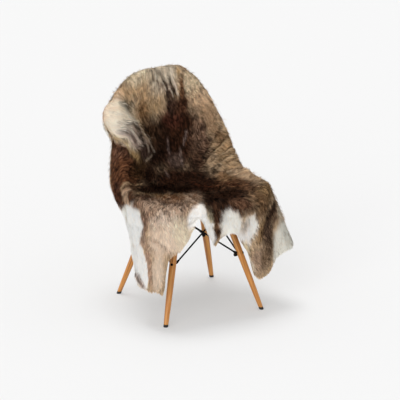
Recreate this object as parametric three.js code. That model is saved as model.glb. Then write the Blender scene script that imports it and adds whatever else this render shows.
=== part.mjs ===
// A reindeer hide laid over a shell side chair: the hide is one sheet of skin and pile that follows the
// seat and the back, turns over the shell's rim all round and hangs there in uneven flaps. The chair is a
// moulded shell on four splayed dowel legs, braced by crossed steel rods. Millimetres, +Z up, the front of
// the chair faces -Y, and the floor is Z = 0.
import * as THREE from "three";
import { mergeVertices } from "three/addons/utils/BufferGeometryUtils.js";

// ---------------------------------------------------------------- driving dimensions
const shell = { thickness: 6, frontPower: 5, backPower: 3, risePower: 2.2, rings: 11, spokes: 60 };
const leg = { footSpan: 400, spread: 0.28, top: 391.5, sides: 28 }; // spread: how far a leg goes out per height
const legOutline = [ // radius by height
  { z: 9.3, radius: 8.6 },
  { z: 40, radius: 9.8 },
  { z: 110, radius: 11.6 },
  { z: 190, radius: 13 },
  { z: 280, radius: 12.6 },
  { z: 350, radius: 11 },
  { z: 391.5, radius: 9 },
];
const glideOutline = [
  { z: 0, radius: 7.8 },
  { z: 2, radius: 8.8 },
  { z: 9, radius: 8.8 },
];
const bolt = { height: 212, radius: 5.5, length: 4, standOff: 13.4 };
const rod = { radius: 2.4, lower: 214, upper: 368, fromAxis: 17, crossing: 3.2 };
const frame = { bottom: 392, thickness: 6, outer: 108, width: 32, gap: 0.4 };
const mount = { radius: 15, reach: 92, shellGap: 1, frameGap: 0.4 };
const hide = {
  skinGap: 5, // from the shell's face to the skin
  pile: 15, // skin and fur together, away from the hem
  hemPile: 7,
  hemTaper: 70, // length over which the pile thins towards the hem
  innerRings: 10,
  outerRings: 12,
  spokes: 104,
  centre: 0.47, // where the spokes meet, as a share of the shell's centre line
  bridge: 14, // how far the sheet stands off the hollow between seat and back
  bridgeAt: 400,
  bridgeWidth: 75,
};

// ---------------------------------------------------------------- the shell
// Stations along the shell's centre line, from the front lip over the seat to the top of the back.
const shellStations = [
  { y: -222, z: 408, halfWidth: 208, edgeForward: 0, edgeUp: 0 },
  { y: -192, z: 432, halfWidth: 222, edgeForward: 0, edgeUp: 2 },
  { y: -110, z: 430, halfWidth: 230, edgeForward: 0, edgeUp: 14 },
  { y: -10, z: 416, halfWidth: 230, edgeForward: 2, edgeUp: 34 },
  { y: 80, z: 414, halfWidth: 226, edgeForward: 18, edgeUp: 56 },
  { y: 150, z: 444, halfWidth: 217, edgeForward: 50, edgeUp: 62 },
  { y: 190, z: 516, halfWidth: 208, edgeForward: 64, edgeUp: 36 },
  { y: 212, z: 612, halfWidth: 202, edgeForward: 50, edgeUp: 14 },
  { y: 234, z: 716, halfWidth: 198, edgeForward: 34, edgeUp: 6 },
  { y: 252, z: 790, halfWidth: 193, edgeForward: 22, edgeUp: 2 },
  { y: 262, z: 828, halfWidth: 186, edgeForward: 16, edgeUp: 0 },
];

// Smooth value of one column between the rows of a table, at a share t from 0 to 1 of its rows.
function columnAt(rows, column, t) {
  const x = THREE.MathUtils.clamp(t, 0, 1) * (rows.length - 1);
  const i = Math.min(Math.floor(x), rows.length - 2);
  const value = (k) => rows[THREE.MathUtils.clamp(k, 0, rows.length - 1)][column];
  const [a, b, c, d] = [value(i - 1), value(i), value(i + 1), value(i + 2)];
  const f = x - i;
  return b + 0.5 * f * (c - a + f * (2 * a - 5 * b + 4 * c - d + f * (3 * (b - c) + d - a)));
}

const lineSamples = 600;
const shareAtLength = (() => {
  const lengths = [0];
  for (let i = 1; i <= lineSamples; i++) {
    const [t0, t1] = [(i - 1) / lineSamples, i / lineSamples];
    const dy = columnAt(shellStations, "y", t1) - columnAt(shellStations, "y", t0);
    const dz = columnAt(shellStations, "z", t1) - columnAt(shellStations, "z", t0);
    lengths.push(lengths[i - 1] + Math.hypot(dy, dz));
  }
  return (length) => {
    const wanted = THREE.MathUtils.clamp(length, 0, lengths[lineSamples]);
    let i = 1;
    while (i < lineSamples && lengths[i] < wanted) i++;
    return (i - 1 + (wanted - lengths[i - 1]) / (lengths[i] - lengths[i - 1])) / lineSamples;
  };
})();
const lineLength = (() => {
  let sum = 0;
  for (let i = 0; i < lineSamples; i++) {
    const [t0, t1] = [i / lineSamples, (i + 1) / lineSamples];
    const dy = columnAt(shellStations, "y", t1) - columnAt(shellStations, "y", t0);
    const dz = columnAt(shellStations, "z", t1) - columnAt(shellStations, "z", t0);
    sum += Math.hypot(dy, dz);
  }
  return sum;
})();

// The shell's sitting face: across is measured from the centre line, along from the front lip.
function shellPoint(across, along) {
  const t = shareAtLength(along);
  const value = (column) => columnAt(shellStations, column, t);
  const share = (Math.abs(across) / value("halfWidth")) ** shell.risePower;
  return new THREE.Vector3(across, value("y") - share * value("edgeForward"), value("z") + share * value("edgeUp"));
}

// Unit vectors of the sitting face at a flat place: across it, along it, and its normal towards the sitter.
function shellFrame(across, along) {
  const step = 1;
  const inside = THREE.MathUtils.clamp(along, step, lineLength - step);
  const u = shellPoint(across + step, inside).sub(shellPoint(across - step, inside)).normalize();
  const v = shellPoint(across, inside + step).sub(shellPoint(across, inside - step)).normalize();
  return { u, v, normal: new THREE.Vector3().crossVectors(u, v).normalize() };
}

// The shell's rim in the flat plane, as a loop of evenly spaced places from the front centre, round by +X.
const rimLoop = (() => {
  const fine = [];
  const count = 4000;
  for (let i = 0; i < count; i++) {
    const angle = (i / count) * 2 * Math.PI;
    const power = Math.cos(angle) > 0 ? shell.frontPower : shell.backPower;
    const rounded = (value) => Math.sign(value) * Math.abs(value) ** (2 / power);
    const along = (lineLength / 2) * (1 - rounded(Math.cos(angle)));
    const halfWidth = columnAt(shellStations, "halfWidth", shareAtLength(along));
    fine.push(new THREE.Vector2(halfWidth * rounded(Math.sin(angle)), along));
  }
  const reached = [0];
  for (let i = 1; i <= count; i++) reached.push(reached[i - 1] + fine[i % count].distanceTo(fine[i - 1]));
  return { fine, reached, length: reached[count] };
})();

// The rim's flat place at a bearing in degrees: 0 at the front centre, 90 at +X, 180 at the top of the back.
function rimAt(bearing) {
  const { fine, reached, length } = rimLoop;
  const wanted = (((bearing % 360) + 360) % 360) / 360 * length;
  let low = 0;
  let high = fine.length;
  while (high - low > 1) {
    const middle = (low + high) >> 1;
    if (reached[middle] <= wanted) low = middle;
    else high = middle;
  }
  const share = (wanted - reached[low]) / (reached[low + 1] - reached[low]);
  return fine[low].clone().lerp(fine[(low + 1) % fine.length], share);
}

// A closed solid between two faces that are grids of points: rings of equal count round a middle point.
function solidBetween(front, back) {
  const rings = front.rings.length;
  const count = front.rings[0].length;
  const points = [front.middle, ...front.rings.flat(), back.middle, ...back.rings.flat()];
  const half = 1 + rings * count;
  const at = (ring, i) => 1 + ring * count + (i % count);
  const triangles = [];
  for (let i = 0; i < count; i++) {
    triangles.push([0, at(0, i), at(0, i + 1)]);
    triangles.push([half, half + at(0, i + 1), half + at(0, i)]);
    for (let ring = 1; ring < rings; ring++) {
      const corner = [at(ring - 1, i), at(ring, i), at(ring, i + 1), at(ring - 1, i + 1)];
      for (const [a, b, c, d] of [corner, corner.map((p) => p + half).reverse()]) {
        const shorter = points[a].distanceTo(points[c]) < points[b].distanceTo(points[d]);
        triangles.push(...(shorter ? [[a, b, c], [a, c, d]] : [[a, b, d], [b, c, d]]));
      }
    }
    const [a, b] = [at(rings - 1, i), at(rings - 1, i + 1)];
    triangles.push([a, half + a, half + b], [a, half + b, b]);
  }
  const geometry = new THREE.BufferGeometry().setFromPoints(points);
  geometry.setIndex(triangles.flat());
  return geometry;
}

function makeShell() {
  const bearings = Array.from({ length: shell.spokes }, (_, i) => (i / (shell.spokes)) * 360);
  const middle = new THREE.Vector2(0, lineLength * hide.centre);
  const face = (depth) => {
    const place = (flat) => {
      const { normal } = shellFrame(flat.x, flat.y);
      return shellPoint(flat.x, flat.y).addScaledVector(normal, -depth);
    };
    const rings = [];
    for (let k = 1; k <= shell.rings; k++) {
      rings.push(bearings.map((b) => place(middle.clone().lerp(rimAt(b), k / (shell.rings)))));
    }
    return { middle: place(middle), rings };
  };
  return solidBetween(face(0), face(shell.thickness));
}

// ---------------------------------------------------------------- the hide
// Where the sheet's edge hangs, by bearing round the rim: x, y, z of the hem; out is how far the sheet
// travels past the rim before it turns, over how far it then travels behind the shell.
const hem = [
  { at: 0, x: -22, y: -246, z: 293, out: 20, over: 16 },
  { at: 4, x: 2, y: -246, z: 322, out: 20, over: 16 },
  { at: 10, x: 62, y: -244, z: 328, out: 20, over: 16 },
  { at: 14, x: 84, y: -246, z: 292, out: 20, over: 16 },
  { at: 19, x: 116, y: -250, z: 235, out: 20, over: 16 },
  { at: 22, x: 134, y: -256, z: 160, out: 20, over: 16 },
  { at: 29, x: 186, y: -258, z: 150, out: 20, over: 16 },
  { at: 35.5, x: 252, y: -216, z: 194, out: 18, over: 14 },
  { at: 41.5, x: 292, y: -228, z: 218, out: 30, over: 10 },
  { at: 47, x: 340, y: -190, z: 224, out: 42, over: 10 },
  { at: 55, x: 343, y: -125, z: 235, out: 42, over: 10 },
  { at: 64, x: 306, y: -60, z: 225, out: 32, over: 14 },
  { at: 76, x: 292, y: 10, z: 240, out: 22, over: 16 },
  { at: 90, x: 272, y: 110, z: 330, out: 26, over: 18 },
  { at: 105, x: 252, y: 205, z: 430, out: 26, over: 22 },
  { at: 120, x: 230, y: 272, z: 520, out: 24, over: 26 },
  { at: 137, x: 198, y: 312, z: 600, out: 17, over: 30 },
  { at: 152, x: 152, y: 330, z: 640, out: 18, over: 34 },
  { at: 166, x: 84, y: 340, z: 600, out: 22, over: 38 },
  { at: 180, x: 0, y: 342, z: 585, out: 12, over: 38 },
  { at: 194, x: -84, y: 338, z: 610, out: 14, over: 38 },
  { at: 205, x: -150, y: 332, z: 650, out: 20, over: 34 },
  { at: 220, x: -212, y: 300, z: 636, out: 42, over: 24 },
  { at: 233, x: -182, y: 268, z: 566, out: 11, over: 24 },
  { at: 242, x: -194, y: 258, z: 510, out: 9, over: 24 },
  { at: 254, x: -224, y: 200, z: 440, out: 12, over: 20 },
  { at: 266, x: -245, y: 112, z: 400, out: 14, over: 14 },
  { at: 275, x: -248, y: 55, z: 372, out: 18, over: 10 },
  { at: 284, x: -252, y: -8, z: 305, out: 20, over: 10 },
  { at: 291, x: -258, y: -52, z: 225, out: 20, over: 12 },
  { at: 298, x: -262, y: -95, z: 148, out: 20, over: 12 },
  { at: 308, x: -258, y: -165, z: 138, out: 20, over: 14 },
  { at: 318, x: -240, y: -225, z: 142, out: 20, over: 14 },
  { at: 321.5, x: -226, y: -240, z: 144, out: 20, over: 16 },
  { at: 326, x: -209, y: -246, z: 262, out: 20, over: 16 },
  { at: 333, x: -163, y: -250, z: 300, out: 20, over: 16 },
  { at: 341, x: -115, y: -247, z: 356, out: 20, over: 16 },
  { at: 346.5, x: -80, y: -234, z: 405, out: 5, over: 6 },
  { at: 353, x: -52, y: -246, z: 345, out: 20, over: 16 },
];

// Smooth value of one of the hem's columns at a bearing, round the closed table.
function hemAt(column, bearing) {
  const b = ((bearing % 360) + 360) % 360;
  const n = hem.length;
  let i = n - 1;
  while (i > 0 && hem[i].at > b) i--;
  const row = (k) => {
    const turns = Math.floor(k / n);
    const found = hem[k - turns * n];
    return { at: found.at + 360 * turns, value: found[column] };
  };
  const [p, q, r, s] = [row(i - 1), row(i), row(i + 1), row(i + 2)];
  const width = r.at - q.at;
  const f = (b - q.at) / width;
  const slope = (low, high) => ((high.value - low.value) / (high.at - low.at)) * width;
  const [m0, m1] = [slope(p, r), slope(q, s)];
  const [f2, f3] = [f * f, f * f * f];
  return (
    (2 * f3 - 3 * f2 + 1) * q.value + (f3 - 2 * f2 + f) * m0 + (3 * f2 - 2 * f3) * r.value + (f3 - f2) * m1
  );
}

// Soft ridges along lines on the flat hide, from one place to another: width is half a ridge's width, height
// how far it stands up, and lean how far its crest is pushed to the right of the line, so that it overhangs.
const folds = [
  { from: [-256, 716], to: [-92, 466], width: 66, height: 34, lean: 16 },
  { from: [95, 462], to: [232, 372], width: 34, height: 11, lean: 4 },
  { from: [120, 392], to: [240, 312], width: 30, height: 10, lean: 4 },
  { from: [40, 640], to: [175, 560], width: 44, height: 7, lean: 0 },
  { from: [-190, 330], to: [-40, 250], width: 46, height: 9, lean: 0 },
  { from: [30, 150], to: [210, 190], width: 50, height: 9, lean: 0 },
  { from: [-150, 90], to: [-175, -150], width: 40, height: 9, lean: 0 },
  { from: [30, 60], to: [-15, -110], width: 26, height: 8, lean: 0 },
];

function smooth(edge0, edge1, x) {
  return THREE.MathUtils.smoothstep(x, edge0, edge1);
}

// How far the sheet is lifted and pushed across, at a flat place, by all the folds together.
function foldedBy(flat) {
  const result = { lift: 0, push: new THREE.Vector2() };
  for (const fold of folds) {
    const from = new THREE.Vector2(...fold.from);
    const along = new THREE.Vector2(...fold.to).sub(from);
    const length = along.length();
    along.divideScalar(length);
    const to = flat.clone().sub(from);
    const distance = to.dot(along);
    const side = Math.abs(to.cross(along));
    if (side > fold.width || distance < 0 || distance > length) continue;
    const ends = smooth(0, fold.width, distance) * smooth(0, fold.width, length - distance);
    const share = ends * Math.cos(((side / fold.width) * Math.PI) / 2) ** 2;
    result.lift += fold.height * share;
    result.push.add(new THREE.Vector2(along.y, -along.x).multiplyScalar(-fold.lean * share));
  }
  return result;
}

// The place of the skin over the shell at a flat place.
function skinPoint(flat) {
  const { normal } = shellFrame(flat.x, flat.y);
  const hollow = hide.bridge * Math.exp(-(((flat.y - hide.bridgeAt) / hide.bridgeWidth) ** 2));
  const middle = 1 - (Math.abs(flat.x) / 260) ** 3;
  return shellPoint(flat.x, flat.y).addScaledVector(normal, hide.skinGap + hollow * middle);
}

// The skin along one spoke: its points, and their flat places on the hide.
function spokeAt(bearing) {
  const rim = rimAt(bearing);
  const centre = new THREE.Vector2(0, lineLength * hide.centre);
  const points = [];
  const flats = [];
  for (let k = 1; k <= hide.innerRings; k++) {
    const flat = centre.clone().lerp(rim, k / hide.innerRings);
    points.push(skinPoint(flat));
    flats.push(flat);
  }
  const step = 3;
  const tangent = rimAt(bearing + step).sub(rimAt(bearing - step)).normalize();
  const outFlat = new THREE.Vector2(tangent.y, -tangent.x);
  const { u, v, normal } = shellFrame(rim.x, rim.y);
  const out = u.clone().multiplyScalar(outFlat.x).addScaledVector(v, outFlat.y).normalize();
  const value = (column) => hemAt(column, bearing);
  const edge = points.at(-1);
  const beyond = edge.clone().addScaledVector(out, value("out"));
  const behind = beyond.clone().addScaledVector(normal, -value("over"));
  const end = new THREE.Vector3(value("x"), value("y"), value("z"));
  const turn = beyond.clone().lerp(behind, 0.5);
  const path = new THREE.CurvePath();
  path.add(new THREE.QuadraticBezierCurve3(edge, beyond, turn));
  path.add(new THREE.QuadraticBezierCurve3(turn, behind, end));
  const reach = path.getLength();
  for (let k = 1; k <= hide.outerRings; k++) {
    const share = k / hide.outerRings;
    points.push(path.getPointAt(share));
    flats.push(rim.clone().addScaledVector(outFlat, reach * share));
  }
  return { points, flats, reach };
}

// The outward direction of the sheet at each of its ring points.
function sheetNormals(middle, rings) {
  return rings.map((ring, k) =>
    ring.map((_, i) => {
      const inner = k > 0 ? rings[k - 1][i] : middle;
      const outer = rings[Math.min(k + 1, rings.length - 1)][i];
      const round = ring[(i + 1) % ring.length].clone().sub(ring[(i + ring.length - 1) % ring.length]);
      return outer.clone().sub(inner).cross(round).normalize();
    }),
  );
}

function makeHide() {
  const spokes = Array.from({ length: hide.spokes }, (_, i) => spokeAt((i / hide.spokes) * 360));
  const ringCount = hide.innerRings + hide.outerRings;
  const flatCentre = new THREE.Vector2(0, lineLength * hide.centre);
  const middle = skinPoint(flatCentre);
  const rings = [];
  for (let k = 0; k < ringCount; k++) rings.push(spokes.map((s) => s.points[k]));
  sheetNormals(middle, rings).forEach((ring, k) => {
    ring.forEach((normal, i) => {
      const flat = spokes[i].flats[k];
      const { lift, push } = foldedBy(flat);
      const inside = 1 - smooth(hide.innerRings * 0.75, hide.innerRings + 3, k);
      const { u, v } = shellFrame(flat.x, flat.y);
      rings[k][i]
        .addScaledVector(normal, lift)
        .addScaledVector(u, push.x * inside)
        .addScaledVector(v, push.y * inside);
    });
  });
  const skin = { middle, rings };
  const fur = {
    middle: middle.clone().addScaledVector(shellFrame(flatCentre.x, flatCentre.y).normal, hide.pile),
    rings: sheetNormals(middle, rings).map((ring, k) =>
      ring.map((normal, i) => {
        const past = k < hide.innerRings ? ringCount : ringCount - 1 - k;
        const toHem = (spokes[i].reach * past) / hide.outerRings;
        const pile = hide.hemPile + (hide.pile - hide.hemPile) * smooth(0, hide.hemTaper, toHem);
        return rings[k][i].clone().addScaledVector(normal, pile);
      }),
    ),
  };
  return { geometry: solidBetween(fur, skin), skin, fur, flats: spokes.map((s) => s.flats) };
}

// ---------------------------------------------------------------- the chair's stand
const corners = [
  { name: "front_left", x: -1, y: -1 },
  { name: "front_right", x: 1, y: -1 },
  { name: "rear_right", x: 1, y: 1 },
  { name: "rear_left", x: -1, y: 1 },
];

// The middle of a leg at a height.
function legAxis(corner, z) {
  const away = leg.footSpan / 2 - leg.spread * z;
  return new THREE.Vector3(corner.x * away, corner.y * away, z);
}

// A closed round body along +Z from an outline of radii by height.
function turned(outline, sides) {
  const profile = [
    new THREE.Vector2(0, outline[0].z),
    ...outline.map(({ radius, z }) => new THREE.Vector2(radius, z)),
    new THREE.Vector2(0, outline.at(-1).z),
  ];
  const lathe = new THREE.LatheGeometry(profile, sides);
  lathe.rotateX(Math.PI / 2);
  lathe.deleteAttribute("uv");
  lathe.deleteAttribute("normal");
  return mergeVertices(lathe, 1e-4);
}

// A round bar between two points.
function bar(from, to, radius, sides = 16) {
  const along = to.clone().sub(from);
  const geometry = new THREE.CylinderGeometry(radius, radius, along.length(), sides, 1);
  geometry.applyQuaternion(
    new THREE.Quaternion().setFromUnitVectors(new THREE.Vector3(0, 1, 0), along.clone().normalize()),
  );
  geometry.translate(...from.clone().add(to).multiplyScalar(0.5).toArray());
  return geometry;
}

// The head of the bolt that goes through a leg, on the leg's outer corner.
function makeBolt(corner) {
  const outwards = new THREE.Vector3(corner.x, corner.y, 2 * leg.spread).normalize();
  const at = (distance) => legAxis(corner, bolt.height).addScaledVector(outwards, distance);
  return bar(at(bolt.standOff), at(bolt.standOff + bolt.length), bolt.radius);
}

// A rod from the lower part of one leg to the top of another, clear of both, and to the left of the line
// between them by offset, so that two crossing rods pass each other.
function strut(low, high, offset) {
  const across = legAxis(high, 0).sub(legAxis(low, 0)).normalize();
  const aside = new THREE.Vector3(-across.y, across.x, 0).multiplyScalar(offset);
  return bar(
    legAxis(low, rod.lower).addScaledVector(across, rod.fromAxis).add(aside),
    legAxis(high, rod.upper).addScaledVector(across, -rod.fromAxis).add(aside),
    rod.radius,
  );
}

// Legs and glides are turned upright and then sheared, so that their ends stay level.
function sheared(geometry, corner) {
  const base = legAxis(corner, 0);
  const slope = -leg.spread;
  const matrix = new THREE.Matrix4().makeShear(0, 0, 0, 0, corner.x * slope, corner.y * slope);
  matrix.setPosition(base.x, base.y, 0);
  geometry.applyMatrix4(matrix);
  return geometry;
}

// A flat bar of the top frame: the front and rear bars run the full width, the side bars between them.
function frameBar(side) {
  const crosswise = side.x === 0;
  const length = crosswise ? 2 * frame.outer : 2 * (frame.outer - frame.width - frame.gap);
  const middle = frame.outer - frame.width / 2;
  const geometry = new THREE.BoxGeometry(
    crosswise ? length : frame.width,
    crosswise ? frame.width : length,
    frame.thickness,
  );
  geometry.translate(side.x * middle, side.y * middle, frame.bottom + frame.thickness / 2);
  return geometry;
}

// A rubber mount between the frame and the shell, as high as the shell's underside allows.
function makeMount(corner) {
  const x = corner.x * mount.reach;
  const y = corner.y * mount.reach;
  let lowest = Infinity;
  for (let across = -mount.radius; across <= mount.radius; across += 5) {
    for (let along = 0; along <= 330; along += 3) {
      const { normal } = shellFrame(x + across, along);
      const under = shellPoint(x + across, along).addScaledVector(normal, -shell.thickness);
      if (Math.abs(under.y - y) <= mount.radius + 2) lowest = Math.min(lowest, under.z);
    }
  }
  const bottom = frame.bottom + frame.thickness + mount.frameGap;
  const top = lowest - mount.shellGap;
  const geometry = turned([{ z: bottom, radius: mount.radius }, { z: top, radius: mount.radius }], leg.sides);
  geometry.translate(x, y, 0);
  return geometry;
}

// ---------------------------------------------------------------- the group
const finishes = {
  plastic: { color: 0xe8e6e2, roughness: 0.45 },
  fur: { color: 0x6b5342, roughness: 0.95 },
  wood: { color: 0xb9783c, roughness: 0.5 },
  rubber: { color: 0x161616, roughness: 0.75 },
  steel: { color: 0x202020, roughness: 0.4, metalness: 0.8 },
};
const group = new THREE.Group();

function add(name, geometry, finish) {
  const mesh = new THREE.Mesh(geometry, new THREE.MeshStandardMaterial(finish));
  mesh.name = name;
  group.add(mesh);
}

const drapedHide = makeHide();
add("hide", drapedHide.geometry, finishes.fur);
add("seat_shell", makeShell(), finishes.plastic);

corners.forEach((corner, i) => {
  add(`leg_${corner.name}`, sheared(turned(legOutline, leg.sides), corner), finishes.wood);
  add(`glide_${corner.name}`, sheared(turned(glideOutline, leg.sides), corner), finishes.rubber);
  add(`bolt_${corner.name}`, makeBolt(corner), finishes.steel);
  add(`mount_${corner.name}`, makeMount(corner), finishes.rubber);

  // Two rods cross on each side of the stand, from this corner to the next.
  const next = corners[(i + 1) % corners.length];
  add(`rod_from_${corner.name}_to_${next.name}`, strut(corner, next, rod.crossing), finishes.steel);
  add(`rod_from_${next.name}_to_${corner.name}`, strut(next, corner, rod.crossing), finishes.steel);
});

for (const side of [{ name: "front", x: 0, y: -1 }, { name: "rear", x: 0, y: 1 }]) {
  add(`frame_${side.name}`, frameBar(side), finishes.steel);
}
for (const side of [{ name: "left", x: -1, y: 0 }, { name: "right", x: 1, y: 0 }]) {
  add(`frame_${side.name}`, frameBar(side), finishes.steel);
}

// The origin is on the floor, under the middle of the whole object's box.
const box = new THREE.Box3().setFromObject(group);
group.position.set(-(box.min.x + box.max.x) / 2, -(box.min.y + box.max.y) / 2, -box.min.z);

export default group;
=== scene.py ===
import math

import bmesh
import bpy
import numpy as np
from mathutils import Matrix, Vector


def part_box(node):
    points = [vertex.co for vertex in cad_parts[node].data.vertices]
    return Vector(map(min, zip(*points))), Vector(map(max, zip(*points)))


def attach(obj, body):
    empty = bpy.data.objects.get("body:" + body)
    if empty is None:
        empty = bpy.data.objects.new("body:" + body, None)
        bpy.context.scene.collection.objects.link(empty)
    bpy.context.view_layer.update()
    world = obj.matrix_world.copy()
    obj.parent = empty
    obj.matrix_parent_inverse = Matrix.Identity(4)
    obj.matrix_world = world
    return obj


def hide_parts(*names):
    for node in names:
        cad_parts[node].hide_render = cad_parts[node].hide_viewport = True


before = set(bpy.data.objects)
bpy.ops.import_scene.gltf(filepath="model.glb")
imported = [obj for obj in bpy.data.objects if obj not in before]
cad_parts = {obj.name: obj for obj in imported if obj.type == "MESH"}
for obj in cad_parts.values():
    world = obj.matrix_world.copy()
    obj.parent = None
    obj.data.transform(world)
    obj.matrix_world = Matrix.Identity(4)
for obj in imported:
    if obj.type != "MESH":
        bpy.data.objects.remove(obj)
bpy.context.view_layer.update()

mm = 0.001
cornerSigns = {"front_left": (-1, -1), "front_right": (1, -1), "rear_right": (1, 1), "rear_left": (-1, 1)}
cornerNames = list(cornerSigns)


def smoothStep(low, high, x):
    t = np.clip((x - low) / (high - low), 0, 1)
    return t * t * (3 - 2 * t)


def unit(v):
    return v / np.maximum(np.linalg.norm(v, axis=-1, keepdims=True), 1e-9)


def boxMiddle(nodes):
    low = np.min([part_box(n)[0] for n in nodes], axis=0)
    high = np.max([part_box(n)[1] for n in nodes], axis=0)
    return (low + high) / 2


# the chair stands on four feet, and its middle is the middle of their boxes
chairMiddle = boxMiddle(["glide_" + c for c in cornerNames])
chairMiddle[2] = 0.0
print("chair middle", chairMiddle.round(4))


cameraPlan = {
    "azimuth": -27.5,  # degrees, from the front of the chair towards its left
    "elevation": 17.8,
    "distance": 8.0,
    "pixelsPerMetre": 265.0,
    "imageWidth": 400,
    "feetPixel": (189.4, 301.0),  # where the middle of the feet lands in the render
    "sensorWidth": 36,
}


def makeCamera(plan):
    azimuth, elevation = math.radians(plan["azimuth"]), math.radians(plan["elevation"])
    forward = Vector((-math.sin(azimuth) * math.cos(elevation),
                      math.cos(azimuth) * math.cos(elevation), -math.sin(elevation)))
    right = Vector((math.cos(azimuth), math.sin(azimuth), 0))
    up = right.cross(forward)
    half = plan["imageWidth"] / 2
    aside = (half - plan["feetPixel"][0]) / plan["pixelsPerMetre"]
    above = (plan["feetPixel"][1] - half) / plan["pixelsPerMetre"]
    target = Vector(chairMiddle) + right * aside + up * above
    data = bpy.data.cameras.new("camera")
    data.sensor_width = plan["sensorWidth"]
    data.lens = plan["sensorWidth"] * plan["pixelsPerMetre"] * plan["distance"] / plan["imageWidth"]
    data.clip_end = 100
    camera = bpy.data.objects.new("camera", data)
    camera.location = target - forward * plan["distance"]
    camera.rotation_euler = forward.to_track_quat("-Z", "Y").to_euler()
    bpy.context.collection.objects.link(camera)
    bpy.context.scene.camera = camera


makeCamera(cameraPlan)
print("camera placed")


# sRGB numbers from 0 to 255 as linear ones
def linear(colour):
    c = np.asarray(colour, float) / 255
    return np.where(c <= 0.04045, c / 12.92, ((c + 0.055) / 1.055) ** 2.4)


def rgba(colour):
    return (*linear(colour), 1.0)


class Nodes:
    def __init__(self, name):
        self.material = bpy.data.materials.new(name)
        self.material.use_nodes = True
        self.tree = self.material.node_tree
        self.shader = self.tree.nodes["Principled BSDF"]

    def add(self, kind, inputs=None, **settings):
        node = self.tree.nodes.new("ShaderNode" + kind)
        for key, value in settings.items():
            setattr(node, key, value)
        for key, value in (inputs or {}).items():
            self.put(value, node.inputs[key])
        return node

    def put(self, value, socket):
        if isinstance(value, bpy.types.NodeSocket):
            self.tree.links.new(value, socket)
        else:
            socket.default_value = value

    def ramp(self, factor, stops):
        node = self.add("ValToRGB", {"Fac": factor})
        while len(node.color_ramp.elements) < len(stops):
            node.color_ramp.elements.new(0.5)
        for element, (place, colour) in zip(node.color_ramp.elements, stops):
            element.position = place
            element.color = rgba(colour)
        return node.outputs["Color"]

    def noise(self, place, scale, detail, distortion=0.0):
        inputs = {"Vector": place, "Scale": scale, "Detail": detail, "Distortion": distortion}
        return self.add("TexNoise", inputs).outputs["Fac"]

    def bump(self, height, strength, distance):
        node = self.add("Bump", {"Height": height, "Strength": strength, "Distance": distance})
        self.put(node.outputs["Normal"], self.shader.inputs["Normal"])


steelPlan = {"dark": (4, 4, 5), "light": (9, 9, 10), "specular": 0.1, "roughness": (0.5, 0.64)}


def paintedSteel(plan):
    n = Nodes("paintedSteel")
    grain = n.noise(n.add("TexCoord").outputs["Object"], 900.0, 3.0)
    n.put(n.ramp(grain, [(0.3, plan["dark"]), (0.75, plan["light"])]), n.shader.inputs["Base Color"])
    low, high = plan["roughness"]
    rough = n.add("MapRange", {"Value": grain, "To Min": low, "To Max": high}).outputs["Result"]
    n.put(rough, n.shader.inputs["Roughness"])
    n.shader.inputs["Specular IOR Level"].default_value = plan["specular"]
    n.bump(grain, 0.25, 0.0002)
    return n.material


rubberPlan = {"dark": (20, 20, 20), "light": (38, 37, 36), "roughness": 0.78}


def blackRubber(plan):
    n = Nodes("blackRubber")
    grain = n.noise(n.add("TexCoord").outputs["Object"], 600.0, 4.0)
    n.put(n.ramp(grain, [(0.3, plan["dark"]), (0.8, plan["light"])]), n.shader.inputs["Base Color"])
    n.shader.inputs["Roughness"].default_value = plan["roughness"]
    n.bump(grain, 0.4, 0.0003)
    return n.material


mouldedPlan = {"dark": (224, 222, 216), "light": (235, 233, 228), "roughness": 0.42}


def mouldedShell(plan):
    n = Nodes("mouldedShell")
    place = n.add("TexCoord").outputs["Object"]
    fine = n.noise(place, 1400.0, 2.0)
    broad = n.noise(place, 7.0, 3.0)
    n.put(n.ramp(broad, [(0.3, plan["dark"]), (0.7, plan["light"])]), n.shader.inputs["Base Color"])
    n.shader.inputs["Roughness"].default_value = plan["roughness"]
    n.bump(fine, 0.12, 0.0002)
    return n.material


beechPlan = {
    "pores": (118, 68, 24),
    "wood": (182, 118, 52),
    "bright": (214, 154, 80),
    "fibres": (260.0, 9.0, 1.0),  # how often the grain changes round the leg and along it
    "bands": (60.0, 4.0, 1.0),
    "roughness": (0.34, 0.5),
}


def oiledBeech(plan):
    # the map "grain" has the way round the leg in x and its length in y, in metres
    n = Nodes("oiledBeech")
    place = n.add("UVMap", uv_map="grain").outputs["UV"]
    along = n.add("Mapping", {"Vector": place, "Scale": plan["fibres"]}).outputs["Vector"]
    fibre = n.noise(along, 1.0, 6.0, 0.6)
    slow = n.add("Mapping", {"Vector": place, "Scale": plan["bands"]}).outputs["Vector"]
    band = n.noise(slow, 1.0, 3.0, 1.2)
    mixed = n.add("Math", {0: fibre, 1: band}, operation="MULTIPLY").outputs["Value"]
    tone = n.ramp(mixed, [(0.12, plan["pores"]), (0.24, plan["wood"]), (0.45, plan["bright"])])
    n.put(tone, n.shader.inputs["Base Color"])
    low, high = plan["roughness"]
    rough = n.add("MapRange", {"Value": fibre, "To Min": low, "To Max": high}).outputs["Result"]
    n.put(rough, n.shader.inputs["Roughness"])
    n.bump(fibre, 0.15, 0.0004)
    return n.material


suedePlan = {"dark": (196, 186, 170), "middle": (216, 209, 197), "light": (226, 221, 212), "sheen": 0.25}


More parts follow.
